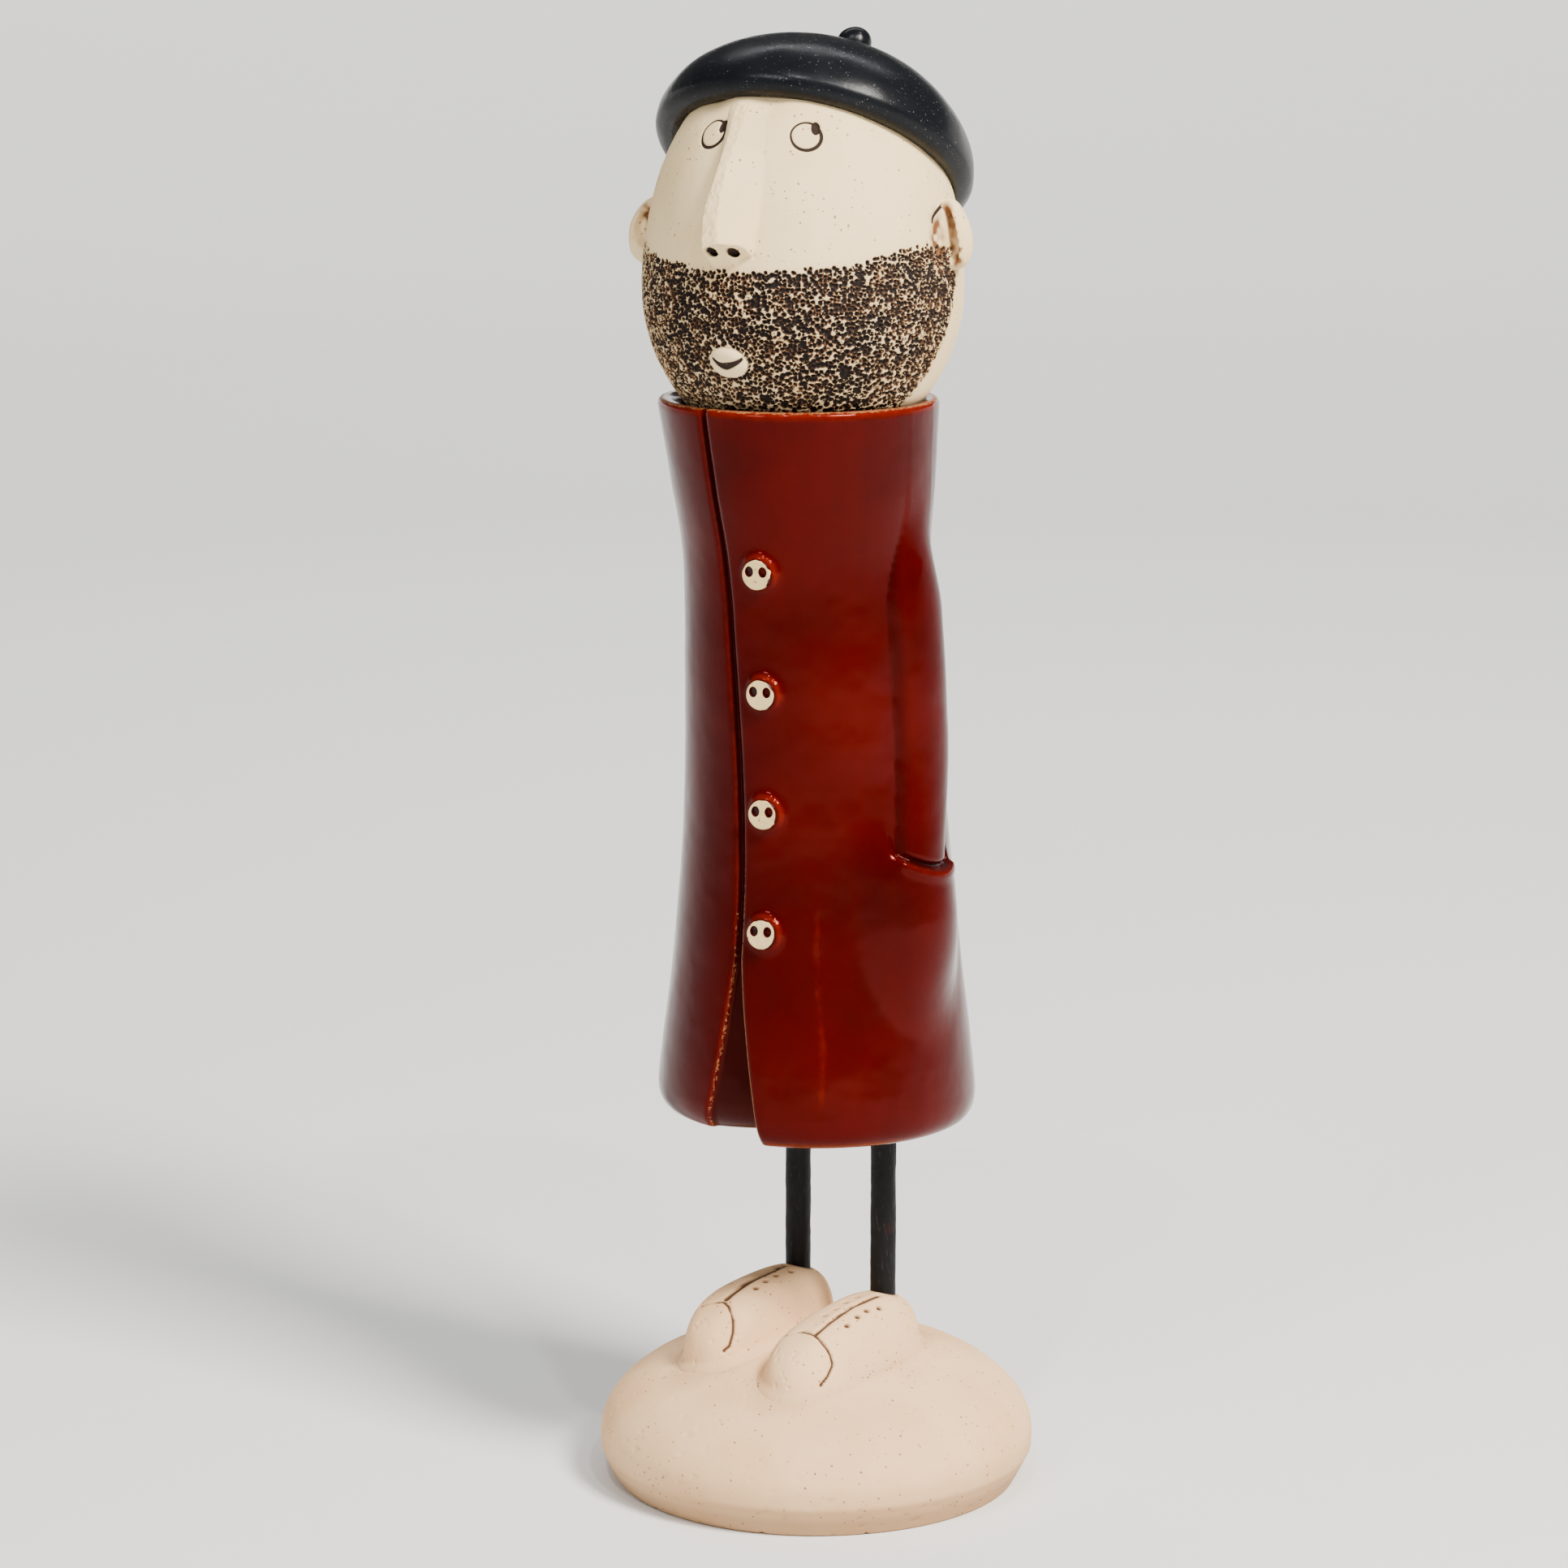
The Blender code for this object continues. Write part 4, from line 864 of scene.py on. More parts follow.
def coat_outer(heights, inset, turns):
    """Grid of the outer surface and its marks, drawn in by an inset at the hem and the rim."""
    height = heights[:, None] + 0.0 * turns
    radius = coat_radius(height)
    drop, from_crease, from_edge, wall = fold_drop(height, turns)
    flat = radius - drop
    body = flat
    # Painted shade: the deep mark darkens the glaze in the groove and the fold by how far the surface lies in.
    deep = np.clip(wall * drop / 0.0019, 0.0, 1.0)
    thin = 0.22 * (bump(from_crease, 0.0008) + bump(from_edge, 0.0008)) * (1.0 - wall)
    bare = np.maximum(0.64 * bump(from_crease, 0.00022), 0.95 * bump(from_edge + 0.00020, 0.00026))
    bare = bare * mix(0.18, 0.86, smoothstep((0.205 - height) / 0.060))
    for side in (1, -1):
        sleeve, soft, pouch, groove, crack, lip_highlight = arm_heights(side, height, turns, radius)
        body = smooth_max(body, sleeve, soft)
        body = smooth_max(body, flat + pouch, POCKET_BLEND * smoothstep(pouch / 0.0014) + 0.000001)
        body = body - 0.0007 * groove - 0.0016 * crack
        # Painted shade in the sleeves' grooves and the slit at each pocket lip.
        deep = np.maximum(deep, np.maximum(0.75 * groove, crack))
        # Painted highlight along each pocket lip, laid into the thin-glaze mark.
        thin = np.maximum(thin, 0.30 * lip_highlight)
    for index in range(BUTTON_COUNT):
        middle, _ = button_spot(index)
        sideways = turn_gap(turns, BUTTON_TURN) * radius
        upwards = height - middle
        gap = np.hypot(sideways, upwards)
        towards = (0.60 * sideways + 0.80 * upwards) / np.maximum(gap, 1e-6)
        pool = mix(0.25, 1.0, smoothstep(0.5 + 0.5 * towards))
        body = body + 0.00150 * pool * bump(np.clip(gap - 0.0041, 0.0, None), 0.00125)
        thin = np.maximum(thin, 0.50 * pool * bump(gap - 0.0046, 0.0009))
    scar_turn = math.radians(39) + math.radians(1.2) * np.sin(height / 0.009)
    scar = bump(turn_gap(turns, scar_turn) * radius, 0.0011) * smoothstep((0.172 - height) / 0.01)
    scar = scar * smoothstep((height - 0.108) / 0.01)
    spots = coat_axis(height) + outward(turns) * radius[..., None]
    wobble = 0.00026 * noise(spots, 0.034, 41) + 0.00006 * noise(spots, 0.0095, 42) + 0.00003 * noise(spots, 0.004, 43)
    body = body + wobble + scar * 0.00022 * noise(spots, 0.0035, 44)
    thin = np.maximum(thin, 0.35 * scar * (0.6 + 0.4 * noise(spots, 0.005, 45)))
    thin = np.maximum(thin, 0.60 * smoothstep((height - COAT_TOP + 0.0032) / 0.0030))
    thin = np.maximum(thin, 0.50 * bump(height - COAT_BOTTOM, 0.0016))
    bare = np.maximum(bare, 0.60 * smoothstep((height - COAT_TOP + 0.0012) / 0.0010))
    points = coat_axis(height) + outward(turns) * (body - inset[:, None])[..., None]
    points[..., 2] += hem_shift(height, turns)
    return points, {"thin": thin, "deep": deep, "bare": bare}


def coat_inner(heights, outset, turns):
    """Grid of the inner surface, with the second layer of the lap behind the groove."""
    height = heights[:, None] + 0.0 * turns
    crease, edge = fold_edges(height)
    turn = np.where(turns > math.pi, turns - math.tau, turns)
    beyond = np.maximum(np.maximum(crease - turn, turn - edge), 0.0)
    side = 1.0 - smoothstep((beyond - math.radians(4)) / math.radians(16))
    below_collar = 1.0 - smoothstep((height - COAT_TOP + 0.045) / 0.025)
    lap = 0.0042 * side * below_collar
    radius = coat_radius(height) - COAT_WALL - lap + outset[:, None]
    points = coat_axis(height) + outward(turns) * radius[..., None]
    points = points + outward(turns) * (0.0003 * noise(points, 0.012, 46))[..., None]
    points[..., 2] += hem_shift(height, turns)
    grey = np.zeros(height.shape)
    # Painted shade: the inside is marked deep so that the glaze there is darkened.
    return points, {"thin": grey + 0.1, "deep": grey + 0.6, "bare": grey}


def coat_row_heights():
    """Heights of the outer rows from the rim down, closer at the buttons and the pocket lips."""
    top = COAT_TOP - RIM_ROUNDING
    bottom = COAT_BOTTOM + HEM_ROUNDING
    fine = np.linspace(top, bottom, 4000)
    density = np.full(fine.size, 1.0)
    for index in range(BUTTON_COUNT):
        density += 0.9 * bump(fine - button_spot(index)[0], 0.0065)
    density += 1.4 * bump(fine - POCKET_HEIGHT - 0.0128, 0.0042)
    total = np.cumsum(density)
    places = np.linspace(total[0], total[-1], 262)
    return np.interp(places, total, fine)


def build_coat(material):
    """Rolled slab coat with sleeves, pockets, groove and fold, in one skin from floor to hem."""
    shelf_top = SHELF_UNDERSIDE + 0.0120
    parts = []

    def lay(grid, heights, insets):
        heights = np.asarray(heights, dtype=float)
        parts.append(grid(heights, np.asarray(insets, dtype=float), coat_turns(heights)))

    inside = np.linspace(shelf_top, COAT_TOP - RIM_ROUNDING, 16)
    lay(coat_inner, inside, np.zeros(16))
    bend = np.radians([30, 60, 85])
    lay(coat_inner, COAT_TOP - RIM_ROUNDING * (1.0 - np.sin(bend)), RIM_ROUNDING * (1.0 - np.cos(bend)))
    bend = bend[::-1]
    lay(coat_outer, COAT_TOP - RIM_ROUNDING * (1.0 - np.sin(bend)), RIM_ROUNDING * (1.0 - np.cos(bend)))
    rows = coat_row_heights()
    lay(coat_outer, rows, np.zeros(rows.size))
    bend = np.radians([15, 30, 45, 60, 75, 90])
    lay(coat_outer, rows[-1] - HEM_ROUNDING * np.sin(bend), 0.6 * HEM_ROUNDING * (1.0 - np.cos(bend)))
    lay(coat_inner, [COAT_BOTTOM, COAT_BOTTOM + 0.0004], [0.0009, 0.0])
    below = np.linspace(COAT_BOTTOM + 0.003, SHELF_UNDERSIDE, 12)
    lay(coat_inner, below, np.zeros(12))
    points = np.concatenate([part[0] for part in parts])
    marks = {mark: np.concatenate([part[1][mark] for part in parts]) for mark in ("thin", "deep", "bare")}
    add_piece("coat_shell", points, material, "coat", caps=(True, True), marks=marks)


def build_buttons(material):
    """Clay discs with two thread holes, their edges caught in the glaze."""
    for index in range(BUTTON_COUNT):
        height, lean = button_spot(index)
        away = outward(BUTTON_TURN)
        normal = unit(away + np.array([0.0, 0.0, lean]))
        across = unit(np.cross([0.0, 0.0, 1.0], normal))
        rise = np.cross(normal, across)
        centre = coat_axis(np.array(height)) + away * coat_radius(np.array(height))
        back = BUTTON_CLEARANCE - BUTTON_SEAT_DEPTH
        front = back + BUTTON_THICKNESS
        reaches = np.concatenate([np.linspace(0.02, 0.93, 34), [0.965, 0.99, 1.0, 1.0, 0.995]]) * BUTTON_RADIUS
        drops = np.concatenate([np.zeros(34), [0.00012, 0.00035, 0.0007, 0.0017, BUTTON_THICKNESS]])
        turns = np.linspace(0.0, math.tau, 130, endpoint=False)
        x = reaches[:, None] * np.cos(turns)
        y = reaches[:, None] * np.sin(turns)
        ring = np.stack([x, y, 0.0 * x + 0.02 * index], axis=-1)
        ragged = 1.0 + 0.018 * noise(np.stack([np.cos(turns), np.sin(turns), 0.0 * turns + 3.0 * index], -1), 0.55, 51)
        x, y = x * ragged, y * ragged
        z = front - drops[:, None] + 0.00006 * noise(ring, 0.0012, 52)
        mark = np.zeros(x.shape)
        for side in (-1, 1):
            gap = np.hypot(x - side * 0.5 * BUTTON_HOLE_SPACING, 0.82 * (y - BUTTON_HOLE_RISE))
            inside = smoothstep((BUTTON_HOLE_RADIUS + 0.00012 - gap) / 0.00026)
            z = z - 0.0013 * inside
            mark = np.maximum(mark, smoothstep((BUTTON_HOLE_RADIUS + 0.00022 - gap) / 0.00022))
        upper = smoothstep(0.5 + 0.5 * (0.60 * np.cos(turns) + 0.80 * np.sin(turns)))
        rim = np.hypot(x, y) - BUTTON_RADIUS * (1.01 - 0.05 * upper) + 0.00028 * noise(ring, 0.0011, 53)
        mark = np.maximum(mark, smoothstep(rim / 0.00030 + 0.5))
        mark = np.maximum(mark, smoothstep((drops[:, None] - 0.0008 - 0.0006 * (1.0 - upper)) / 0.0004))
        points = centre + x[..., None] * across + y[..., None] * rise + z[..., None] * normal
        name = f"button_{index + 1}"
        add_piece(f"clay_{name}", points, material, name, caps=(True, True),
                  marks={"glaze": mark, "stain_and_shade": np.zeros(x.shape)})


# Head
def head_middle():
    """Centre of the head's widest section, found from the CAD egg's seat in the collar."""
    shift = np.array([HEAD_SHIFT_LEFT, HEAD_SHIFT_BACK, 0.0])
    seat_height = np.array(COAT_TOP - RIM_ROUNDING)
    seat_radius = float(coat_radius(seat_height)) - COAT_WALL - np.linalg.norm(shift) - 0.0005
    drop = HEAD_CHIN * math.sqrt(1.0 - (seat_radius / HEAD_RADIUS) ** 2)
    return coat_axis(np.array(COAT_TOP)) + shift + np.array([0.0, 0.0, drop - RIM_ROUNDING])


MIDDLE = head_middle()


def egg_radius(rise):
    """Radius of the head at heights from its widest section."""
    half = np.where(rise > 0.0, HEAD_CROWN, HEAD_CHIN)
    return HEAD_RADIUS * np.sqrt(np.clip(1.0 - (rise / half) ** 2, 0.0, 1.0))


def egg_normal(turn, rise):
    """Unit normal of the egg, for turns from where the face looks."""
    half = np.where(rise > 0.0, HEAD_CROWN, HEAD_CHIN)
    normal = outward(HEAD_TURN + turn) * egg_radius(rise)[..., None]
    normal[..., 2] = rise * HEAD_RADIUS ** 2 / half ** 2
    return unit(normal)


def egg_point(turn, rise):
    """Points of the egg's surface."""
    away = outward(HEAD_TURN + turn) * egg_radius(rise)[..., None]
    away[..., 2] = rise
    return MIDDLE + away


def head_frame(turn, rise):
    """Centre, across, up and outward directions at a place on the head."""
    turn, rise = np.array(turn), np.array(rise)
    normal = egg_normal(turn, rise)
    across = unit(np.cross([0.0, 0.0, 1.0], normal))
    return egg_point(turn, rise), across, np.cross(normal, across), normal


def beard_depth(turn, rise):
    """Distance inside the beard's border, below zero outside it."""
    height = rise + MIDDLE[2]
    reach = np.degrees(np.abs(turn))
    top = smooth_curve(((0, 0.3363), (15, 0.3367), (29, 0.3378), (39, 0.3382), (55, 0.3408), (66, 0.3420),
                        (77, 0.3418), (95, 0.3400)), reach)
    side = smooth_curve(((0.297, 74), (0.303, 77.7), (0.307, 81), (0.3127, 83.5), (0.3185, 86.7), (0.326, 90),
                         (0.332, 93), (0.345, 94)), height)
    return np.minimum(top - height, np.radians(side - reach) * egg_radius(rise))


def beard_pits(points, turn, rise):
    """Value at each point that passes one half at a pit's border and rises to 1 in it."""
    chance = np.random.default_rng(17)
    centres = []
    widths = []
    walls = []
    for row_rise in np.arange(-0.0330, 0.0140, PIT_SPACING * 0.86):
        radius = float(egg_radius(np.array(row_rise)))
        step = PIT_SPACING / radius
        for row_turn in np.arange(-math.radians(97), math.radians(97), step):
            spot_turn = row_turn + chance.uniform(-0.46, 0.46) * step
            spot_rise = row_rise + chance.uniform(-0.46, 0.46) * PIT_SPACING
            width = chance.uniform(0.00062, 0.00092)
            wall = chance.choice([0.00010, 0.00026, -0.0002], p=[0.50, 0.36, 0.14])
            inside = float(beard_depth(np.array(spot_turn), np.array(spot_rise)))
            if inside < 0.0 or chance.random() > 0.60 + inside / 0.0022:
                continue
            centres.append(egg_point(np.array(spot_turn), np.array(spot_rise)))
            widths.append(width * min(1.0, 0.66 + inside / 0.006))
            walls.append(wall)
    tree = KDTree(len(centres))
    for index, centre in enumerate(centres):
        tree.insert(centre, index)
    tree.balance()
    warp = np.stack([noise(points, 0.0015, 61), noise(points, 0.0015, 62), noise(points, 0.0015, 63)], axis=-1)
    places = points + 0.00026 * warp
    value = np.zeros(points.shape[:-1])
    near = (beard_depth(turn, rise) > -0.0012) & (rise > -0.0345)
    for row, column in np.argwhere(near):
        (_, index, gap), (_, _, next_gap) = tree.find_n(places[row, column], 2)
        from_rim = 0.5 + (widths[index] - gap) / 0.0007
        from_wall = 0.5 + (next_gap - gap - walls[index]) / 0.0006
        value[row, column] = max(0.0, min(from_rim, from_wall, 1.0))
    return value


def nose_height(sideways, rise):
    """How far the nose stands out in front of the head, over places across and up."""
    share = np.clip((NOSE_TOP - rise) / (NOSE_TOP - NOSE_BOTTOM), 0.0, 1.15)
    left = smooth_curve(((0.0080, -0.0046), (0.0137, -0.0046), (0.0215, -0.0058), (0.0310, -0.0049),
                         (0.0367, -0.0045), (0.0440, -0.0048), (0.0520, -0.0062)), rise)
    right = smooth_curve(((0.0080, 0.0010), (0.0150, 0.0001), (0.0200, -0.0012), (0.0270, -0.0019),
                          (0.0340, -0.0021), (0.0400, -0.0018), (0.0520, -0.0016)), rise)
    foot = smooth_curve(((0.0080, 0.0060), (0.0140, 0.0062), (0.0200, 0.0068), (0.0300, 0.0070),
                         (0.0400, 0.0052), (0.0520, 0.0020)), rise)
    right_flank = np.clip((sideways - right) / (foot - right), 0.0, 1.0)
    left_flank = np.clip((left - sideways) / mix(0.0026, 0.0019, share), 0.0, 1.0)
    slope = (1.0 - right_flank) ** mix(1.25, 0.62, smoothstep((share - 0.50) / 0.5)) * (1.0 - left_flank) ** 0.7
    edge = smooth_curve(((-0.0070, 0.0128), (-0.0046, 0.0137), (0.0, 0.0151), (0.0015, 0.0149),
                         (0.0046, 0.0142), (0.0060, 0.0118), (0.0080, 0.0110)), sideways)
    out = NOSE_PROUD * share * slope - 1.5 * np.clip(edge - rise, 0.0, None)
    strip = smoothstep((sideways - left + 0.0006) / 0.0006) * smoothstep((right + 0.0003 - sideways) / 0.0006)
    return np.clip(out, 0.0, None), strip * smoothstep(share / 0.12)


def head_columns():
    """Turns of the head's columns, closest at the face and the nose."""
    turn = np.linspace(-math.pi, math.pi, 8000)
    spread = 0.22 + 1.0 * smoothstep((math.radians(104) - np.abs(turn)) / 0.12)
    spread += 0.55 * bump(turn + math.radians(5), math.radians(11))
    total = np.cumsum(spread)
    return np.interp(np.linspace(total[0], total[-1], 481), total, turn)[:-1]


def head_rows(low, high, count):
    """Rises of rows between two rises, closest at the beard, the face and the nose's underside."""
    slope = np.linspace(-0.5 * math.pi + 0.004, 0.5 * math.pi - 0.004, 20000)
    rise = np.where(slope > 0.0, HEAD_CROWN, HEAD_CHIN) * np.sin(slope)
    radius = HEAD_RADIUS * np.cos(slope)
    length = np.hypot(np.gradient(rise), np.gradient(radius))
    density = 0.35 + 1.4 * smoothstep((rise + 0.0330) / 0.002) * smoothstep((0.0525 - rise) / 0.003)
    density += 1.3 * smoothstep((rise - 0.0090) / 0.001) * smoothstep((0.0165 - rise) / 0.002)
    kept = (rise >= low) & (rise <= high)
    total = np.cumsum(length[kept] * density[kept])
    rows = np.interp(np.linspace(total[0], total[-1], count), total, rise[kept])
    rows[0], rows[-1] = max(low, rise[0]), min(high, rise[-1])
    return rows


def eye_lines(points):
    """Marks for the eyes' circles and pupils, and how deep they are pressed."""
    line = np.zeros(points.shape[:-1])
    press = np.zeros(points.shape[:-1])
    for side in (-1, 1):
        centre, across, up, _ = head_frame(EYE_MIDDLE_TURN + side * EYE_HALF_TURN, EYE_HEIGHT)
        offset = points - centre
        x, y = offset @ across, offset @ up
        close = np.linalg.norm(offset, axis=-1) < 2.0 * EYE_RADIUS
        ring = np.hypot(x, y) - EYE_RADIUS + 0.00025 + 0.00012 * noise(points, 0.003, 74)
        weight = 0.95 + 0.25 * np.clip((x - y) / EYE_RADIUS, -1.0, 1.0)
        circle = np.clip(1.0 - np.abs(ring) / 0.00080, 0.0, 1.0) * weight * close
        pupil_gap = np.hypot((x - 0.00245) / 0.84, (y - 0.00235) / 1.36) - PUPIL_RADIUS
        pupil = np.clip(0.5 - pupil_gap / 0.0006, 0.0, 1.0) * close
        line = np.maximum(line, np.maximum(circle, pupil))
        press = np.maximum(press, 0.00035 * circle)
        press = np.maximum(press, 0.00090 * smoothstep(0.4 - pupil_gap / 0.0009) * close)
    return line, press


def ear_line_gap(points):
    """Distance to the short curved cut in front of each ear's top."""
    gap = np.full(points.shape[:-1], 1.0)
    for side in (-1, 1):
        line = []
        for share in np.linspace(0.0, 1.0, 7):
            back = EAR_HALF_TURN - math.radians(14.5 - 9.5 * share ** 1.9)
            place = egg_point(np.array(EAR_MIDDLE_TURN + side * back), np.array(EAR_HEIGHT + 0.0050 + 0.0040 * share))
            line.append(place)
        gap = np.minimum(gap, line_distance(points, line))
    return gap


def ear_stain(points, side):
    """Brown patch and dent on the head just in front of one ear."""
    turn = EAR_MIDDLE_TURN + side * (EAR_HALF_TURN - math.radians(12.5))
    gap = np.linalg.norm((points - egg_point(np.array(turn), np.array(EAR_HEIGHT))) / np.array([1.0, 1.0, 2.2]), axis=-1)
    return np.clip(bump(gap, 0.0030) * (0.9 + 1.2 * noise(points, 0.0018, 75)), 0.0, 1.0), 0.0011 * bump(gap, 0.0028)


def build_head_piece(name, rises, caps, material):
    """One band of the egg, with nose and brow drawn out of it, and eyes, nostrils and beard pressed in."""
    rise, turn = np.meshgrid(rises, head_columns(), indexing="ij")
    normal = egg_normal(turn, rise)
    points = egg_point(turn, rise)
    away = outward(HEAD_TURN + NOSE_TIP_TURN)
    sideways = (points - MIDDLE) @ np.array([-away[1], away[0], 0.0])
    front = smoothstep(((points - MIDDLE) @ away - 0.012) / 0.004)
    out, strip = nose_height(sideways, rise)
    out = out * front
    rough = 0.00016 * strip * front * (noise(points, 0.0010, 73) + 0.5 * noise(points, 0.0005, 79))
    hollow = np.zeros(rise.shape)
    for side in (-1, 1):
        socket = egg_point(np.array(NOSE_TOP_TURN + side * math.radians(19)), np.array(0.0505))
        hollow += 0.0012 * bump(np.linalg.norm(points - socket, axis=-1), 0.0052)
    crease = 0.00030 * bump(line_distance(np.stack([sideways, rise], axis=-1), [(0.0049, 0.0143), (0.0063, 0.0112)]), 0.0004)
    wobble = 0.00030 * noise(points, 0.024, 71) + 0.00008 * noise(points, 0.006, 72) + 0.00004 * noise(points, 0.0025, 78)
    line, press = eye_lines(points)
    arc_gap = ear_line_gap(points)
    line = np.maximum(line, np.clip(1.1 - arc_gap / 0.0008, 0.0, 1.0))
    press = np.maximum(press + crease * front, 0.0004 * bump(arc_gap, 0.0004))
    inside = beard_depth(turn, rise)
    centre, across, up, _ = head_frame(MOUTH_TURN, MOUTH_HEIGHT)
    offset = points - centre
    mouth_gap = np.hypot(offset @ across / MOUTH_WIDTH, offset @ up / MOUTH_TALL)
    pit = beard_pits(points, turn, rise) * smoothstep((mouth_gap - 0.46) / 0.06)
    press = press + PIT_DEPTH * smoothstep((pit - 0.34) / 0.42)
    hole = np.zeros(rise.shape)
    for side, place in ((-1, 0.0128), (1, 0.0126)):
        gap = np.hypot(sideways + 0.0003 - side * 0.5 * NOSTRIL_SPACING, rise - place) + 0.0001 * noise(points, 0.001, 80)
        hole = np.maximum(hole, np.clip(0.5 + (NOSTRIL_RADIUS - gap) / 0.0006, 0.0, 1.0) * front)
    swell = 0.00022 * smoothstep(inside / 0.002)
    out = out - 0.0026 * smoothstep((hole - 0.3) / 0.5)
    points = points + normal * (wobble + rough - hollow + swell - press)[..., None] + away * out[..., None]
    stain_and_shade = 0.22 * smoothstep(inside / 0.003) + 0.10 * bump(inside, 0.002)
    for side in (-1, 1):
        patch, dent = ear_stain(points, side)
        stain_and_shade = np.maximum(stain_and_shade, patch)
        points = points - normal * dent[..., None]
    marks = {"pit": pit, "line": np.maximum(line, hole), "stain_and_shade": stain_and_shade}
    add_piece(name, points, material, "head", caps=caps, marks=marks)


def build_head(material):
    """The head in two bands that share a row, so that each keeps fine detail."""
    build_head_piece("head_jaw", head_rows(-1.0, HEAD_SEAM, 196), (True, False), material)
    build_head_piece("head_brow", head_rows(HEAD_SEAM, 1.0, 200), (False, True), material)


def build_mouth(material):
    """Flat pebble of a mouth with an upturned line pressed into it."""
    centre, across, up, normal = head_frame(MOUTH_TURN, MOUTH_HEIGHT)
    reach = np.concatenate([np.linspace(0.02, 0.86, 34), np.linspace(0.885, 1.0, 9), [1.02]])[:, None]
    turns = np.linspace(0.0, math.tau, 120, endpoint=False)[None, :]
    uneven = 1.0 + 0.03 * np.cos(2.0 * turns + 0.6)
    x = 0.5 * MOUTH_WIDTH * reach * np.cos(turns) * uneven
    y = 0.5 * MOUTH_TALL * reach * np.sin(turns) * uneven
    level = np.sqrt(np.clip(1.0 - np.clip(reach, 0.0, 1.0) ** 3.2, 0.0, 1.0)) + 0.0 * turns
    fall = -(x ** 2) / (2.0 * HEAD_RADIUS) - (y ** 2) / (2.0 * 0.052)
    z = fall + (MOUTH_PROUD + 0.0006) * level - 0.0006
    bend = 0.0022 * (x / (0.42 * MOUTH_WIDTH)) ** 2 - 0.0005 + 0.00018 * np.sin(x * 900.0)
    off_line = np.abs(y - bend) + np.clip(np.abs(x) - 0.41 * MOUTH_WIDTH, 0.0, None)
    thickness = 0.00084 * (1.2 - 0.75 * np.abs(x) / (0.45 * MOUTH_WIDTH))
    line = np.clip(1.0 - off_line / np.maximum(2.0 * thickness, 0.0001), 0.0, 1.0)
    z = z - 0.0006 * smoothstep(line / 0.8)
    points = centre + x[..., None] * across + y[..., None] * up + z[..., None] * normal
    points = points + normal * (0.00012 * noise(points, 0.003, 76))[..., None]
    marks = {"line": np.clip(line * 1.05, 0.0, 1.0), "pit": np.zeros(x.shape), "stain_and_shade": 0.35 * smoothstep((reach - 0.9) / 0.12) + 0.0 * x}
    add_piece("mouth_pebble", points, material, "head", caps=(True, False), marks=marks)


def build_ear(side, word, back, lift, proud, hollow, blobs, material):
    """Ear with a thick rolled rim; the hollow and its stains are (tall, proud, reach) shares of the ear."""
    centre, across, up, normal = head_frame(EAR_MIDDLE_TURN + side * back, EAR_HEIGHT + lift)
    forward = -side * across
    slope = np.linspace(0.02, math.pi - 0.02, 110)[:, None]
    turns = np.linspace(0.0, math.tau, 120, endpoint=False)[None, :]
    front = np.cos(slope) + 0.0 * turns
    tall = np.sin(slope) * np.sin(turns)
    out = np.sin(slope) * np.cos(turns)
    lobe = 1.0 + 0.06 * smoothstep(-tall / 0.9) - 0.16 * np.clip(tall, 0.0, 1.0)
    y = 0.5 * EAR_TALL * tall
    z = proud * np.sign(out) * np.abs(out) ** 0.85 * lobe
    x = 0.5 * EAR_THICKNESS * np.sign(front) * np.abs(front) ** 0.80
    spread = np.hypot((tall - hollow[0]) / hollow[2], (out - hollow[1]) / (hollow[2] * hollow[3]))
    bowl = smoothstep((1.0 - spread) / 0.45) * smoothstep((front + 0.35) / 0.3)
    x = x - 0.0042 * bowl * np.clip(front + 0.35, 0.0, 1.0) / 1.35 - 0.0012 * z / proud
    points = centre + x[..., None] * forward + y[..., None] * up + z[..., None] * normal
    points = points + 0.00018 * np.stack([noise(points, 0.004, 77 + axis) for axis in range(3)], axis=-1)
    patches = np.zeros(x.shape)
    for blob_tall, blob_out, reach, strength in blobs:
        gap = np.hypot(tall - blob_tall, (out - blob_out) / 1.1) / reach
        patches = np.maximum(patches, strength * smoothstep(1.25 - gap))
    stain_and_shade = patches * np.clip(0.85 + 0.7 * noise(points, 0.0015, 81), 0.0, 1.3) * (front > -0.2)
    blank = np.zeros(x.shape)
    marks = {"stain_and_shade": np.clip(stain_and_shade, 0.0, 1.0), "pit": blank, "line": blank}
    add_piece(f"ear_{word}", points, material, "head", caps=(True, True), marks=marks)


def build_ears(material):
    """The figure's left ear lies closer to the head than the right one."""
    blobs = ((0.58, 0.12, 0.36, 1.0), (0.15, 0.05, 0.50, 0.55), (0.10, -0.20, 0.30, 0.75), (-0.30, -0.18, 0.34, 0.80), (-0.74, 0.22, 0.24, 1.0),
             (0.30, 0.42, 0.13, 0.9), (0.05, 0.44, 0.13, 0.9), (-0.20, 0.45, 0.13, 0.9), (-0.45, 0.44, 0.13, 0.9))
    build_ear(1, "left", EAR_HALF_TURN - math.radians(2.8), 0.0011, LEFT_EAR_PROUD - 0.0004, (-0.02, 0.06, 0.86, 0.52), blobs, material)
    blobs = ((0.50, 0.30, 0.36, 0.9), (0.15, 0.05, 0.40, 0.7))
    build_ear(-1, "right", EAR_HALF_TURN, -0.0008, RIGHT_EAR_PROUD, (0.12, 0.10, 0.66, 1.05), blobs, material)


# Beret
def beret_frame():
    """Centre, across, forward-down and crown directions of the beret's rim plane."""
    away = outward(BERET_TURN)
    across = np.array([-away[1], away[0], 0.0])
    middle = MIDDLE + np.array([0.0, 0.0, BERET_HEIGHT]) - away * BERET_SETBACK + across * BERET_SIDE_SHIFT
    crown = np.array([0.0, 0.0, 1.0]) * math.cos(BERET_TILT) - away * math.sin(BERET_TILT)
    return middle, across, np.cross(crown, across), crown


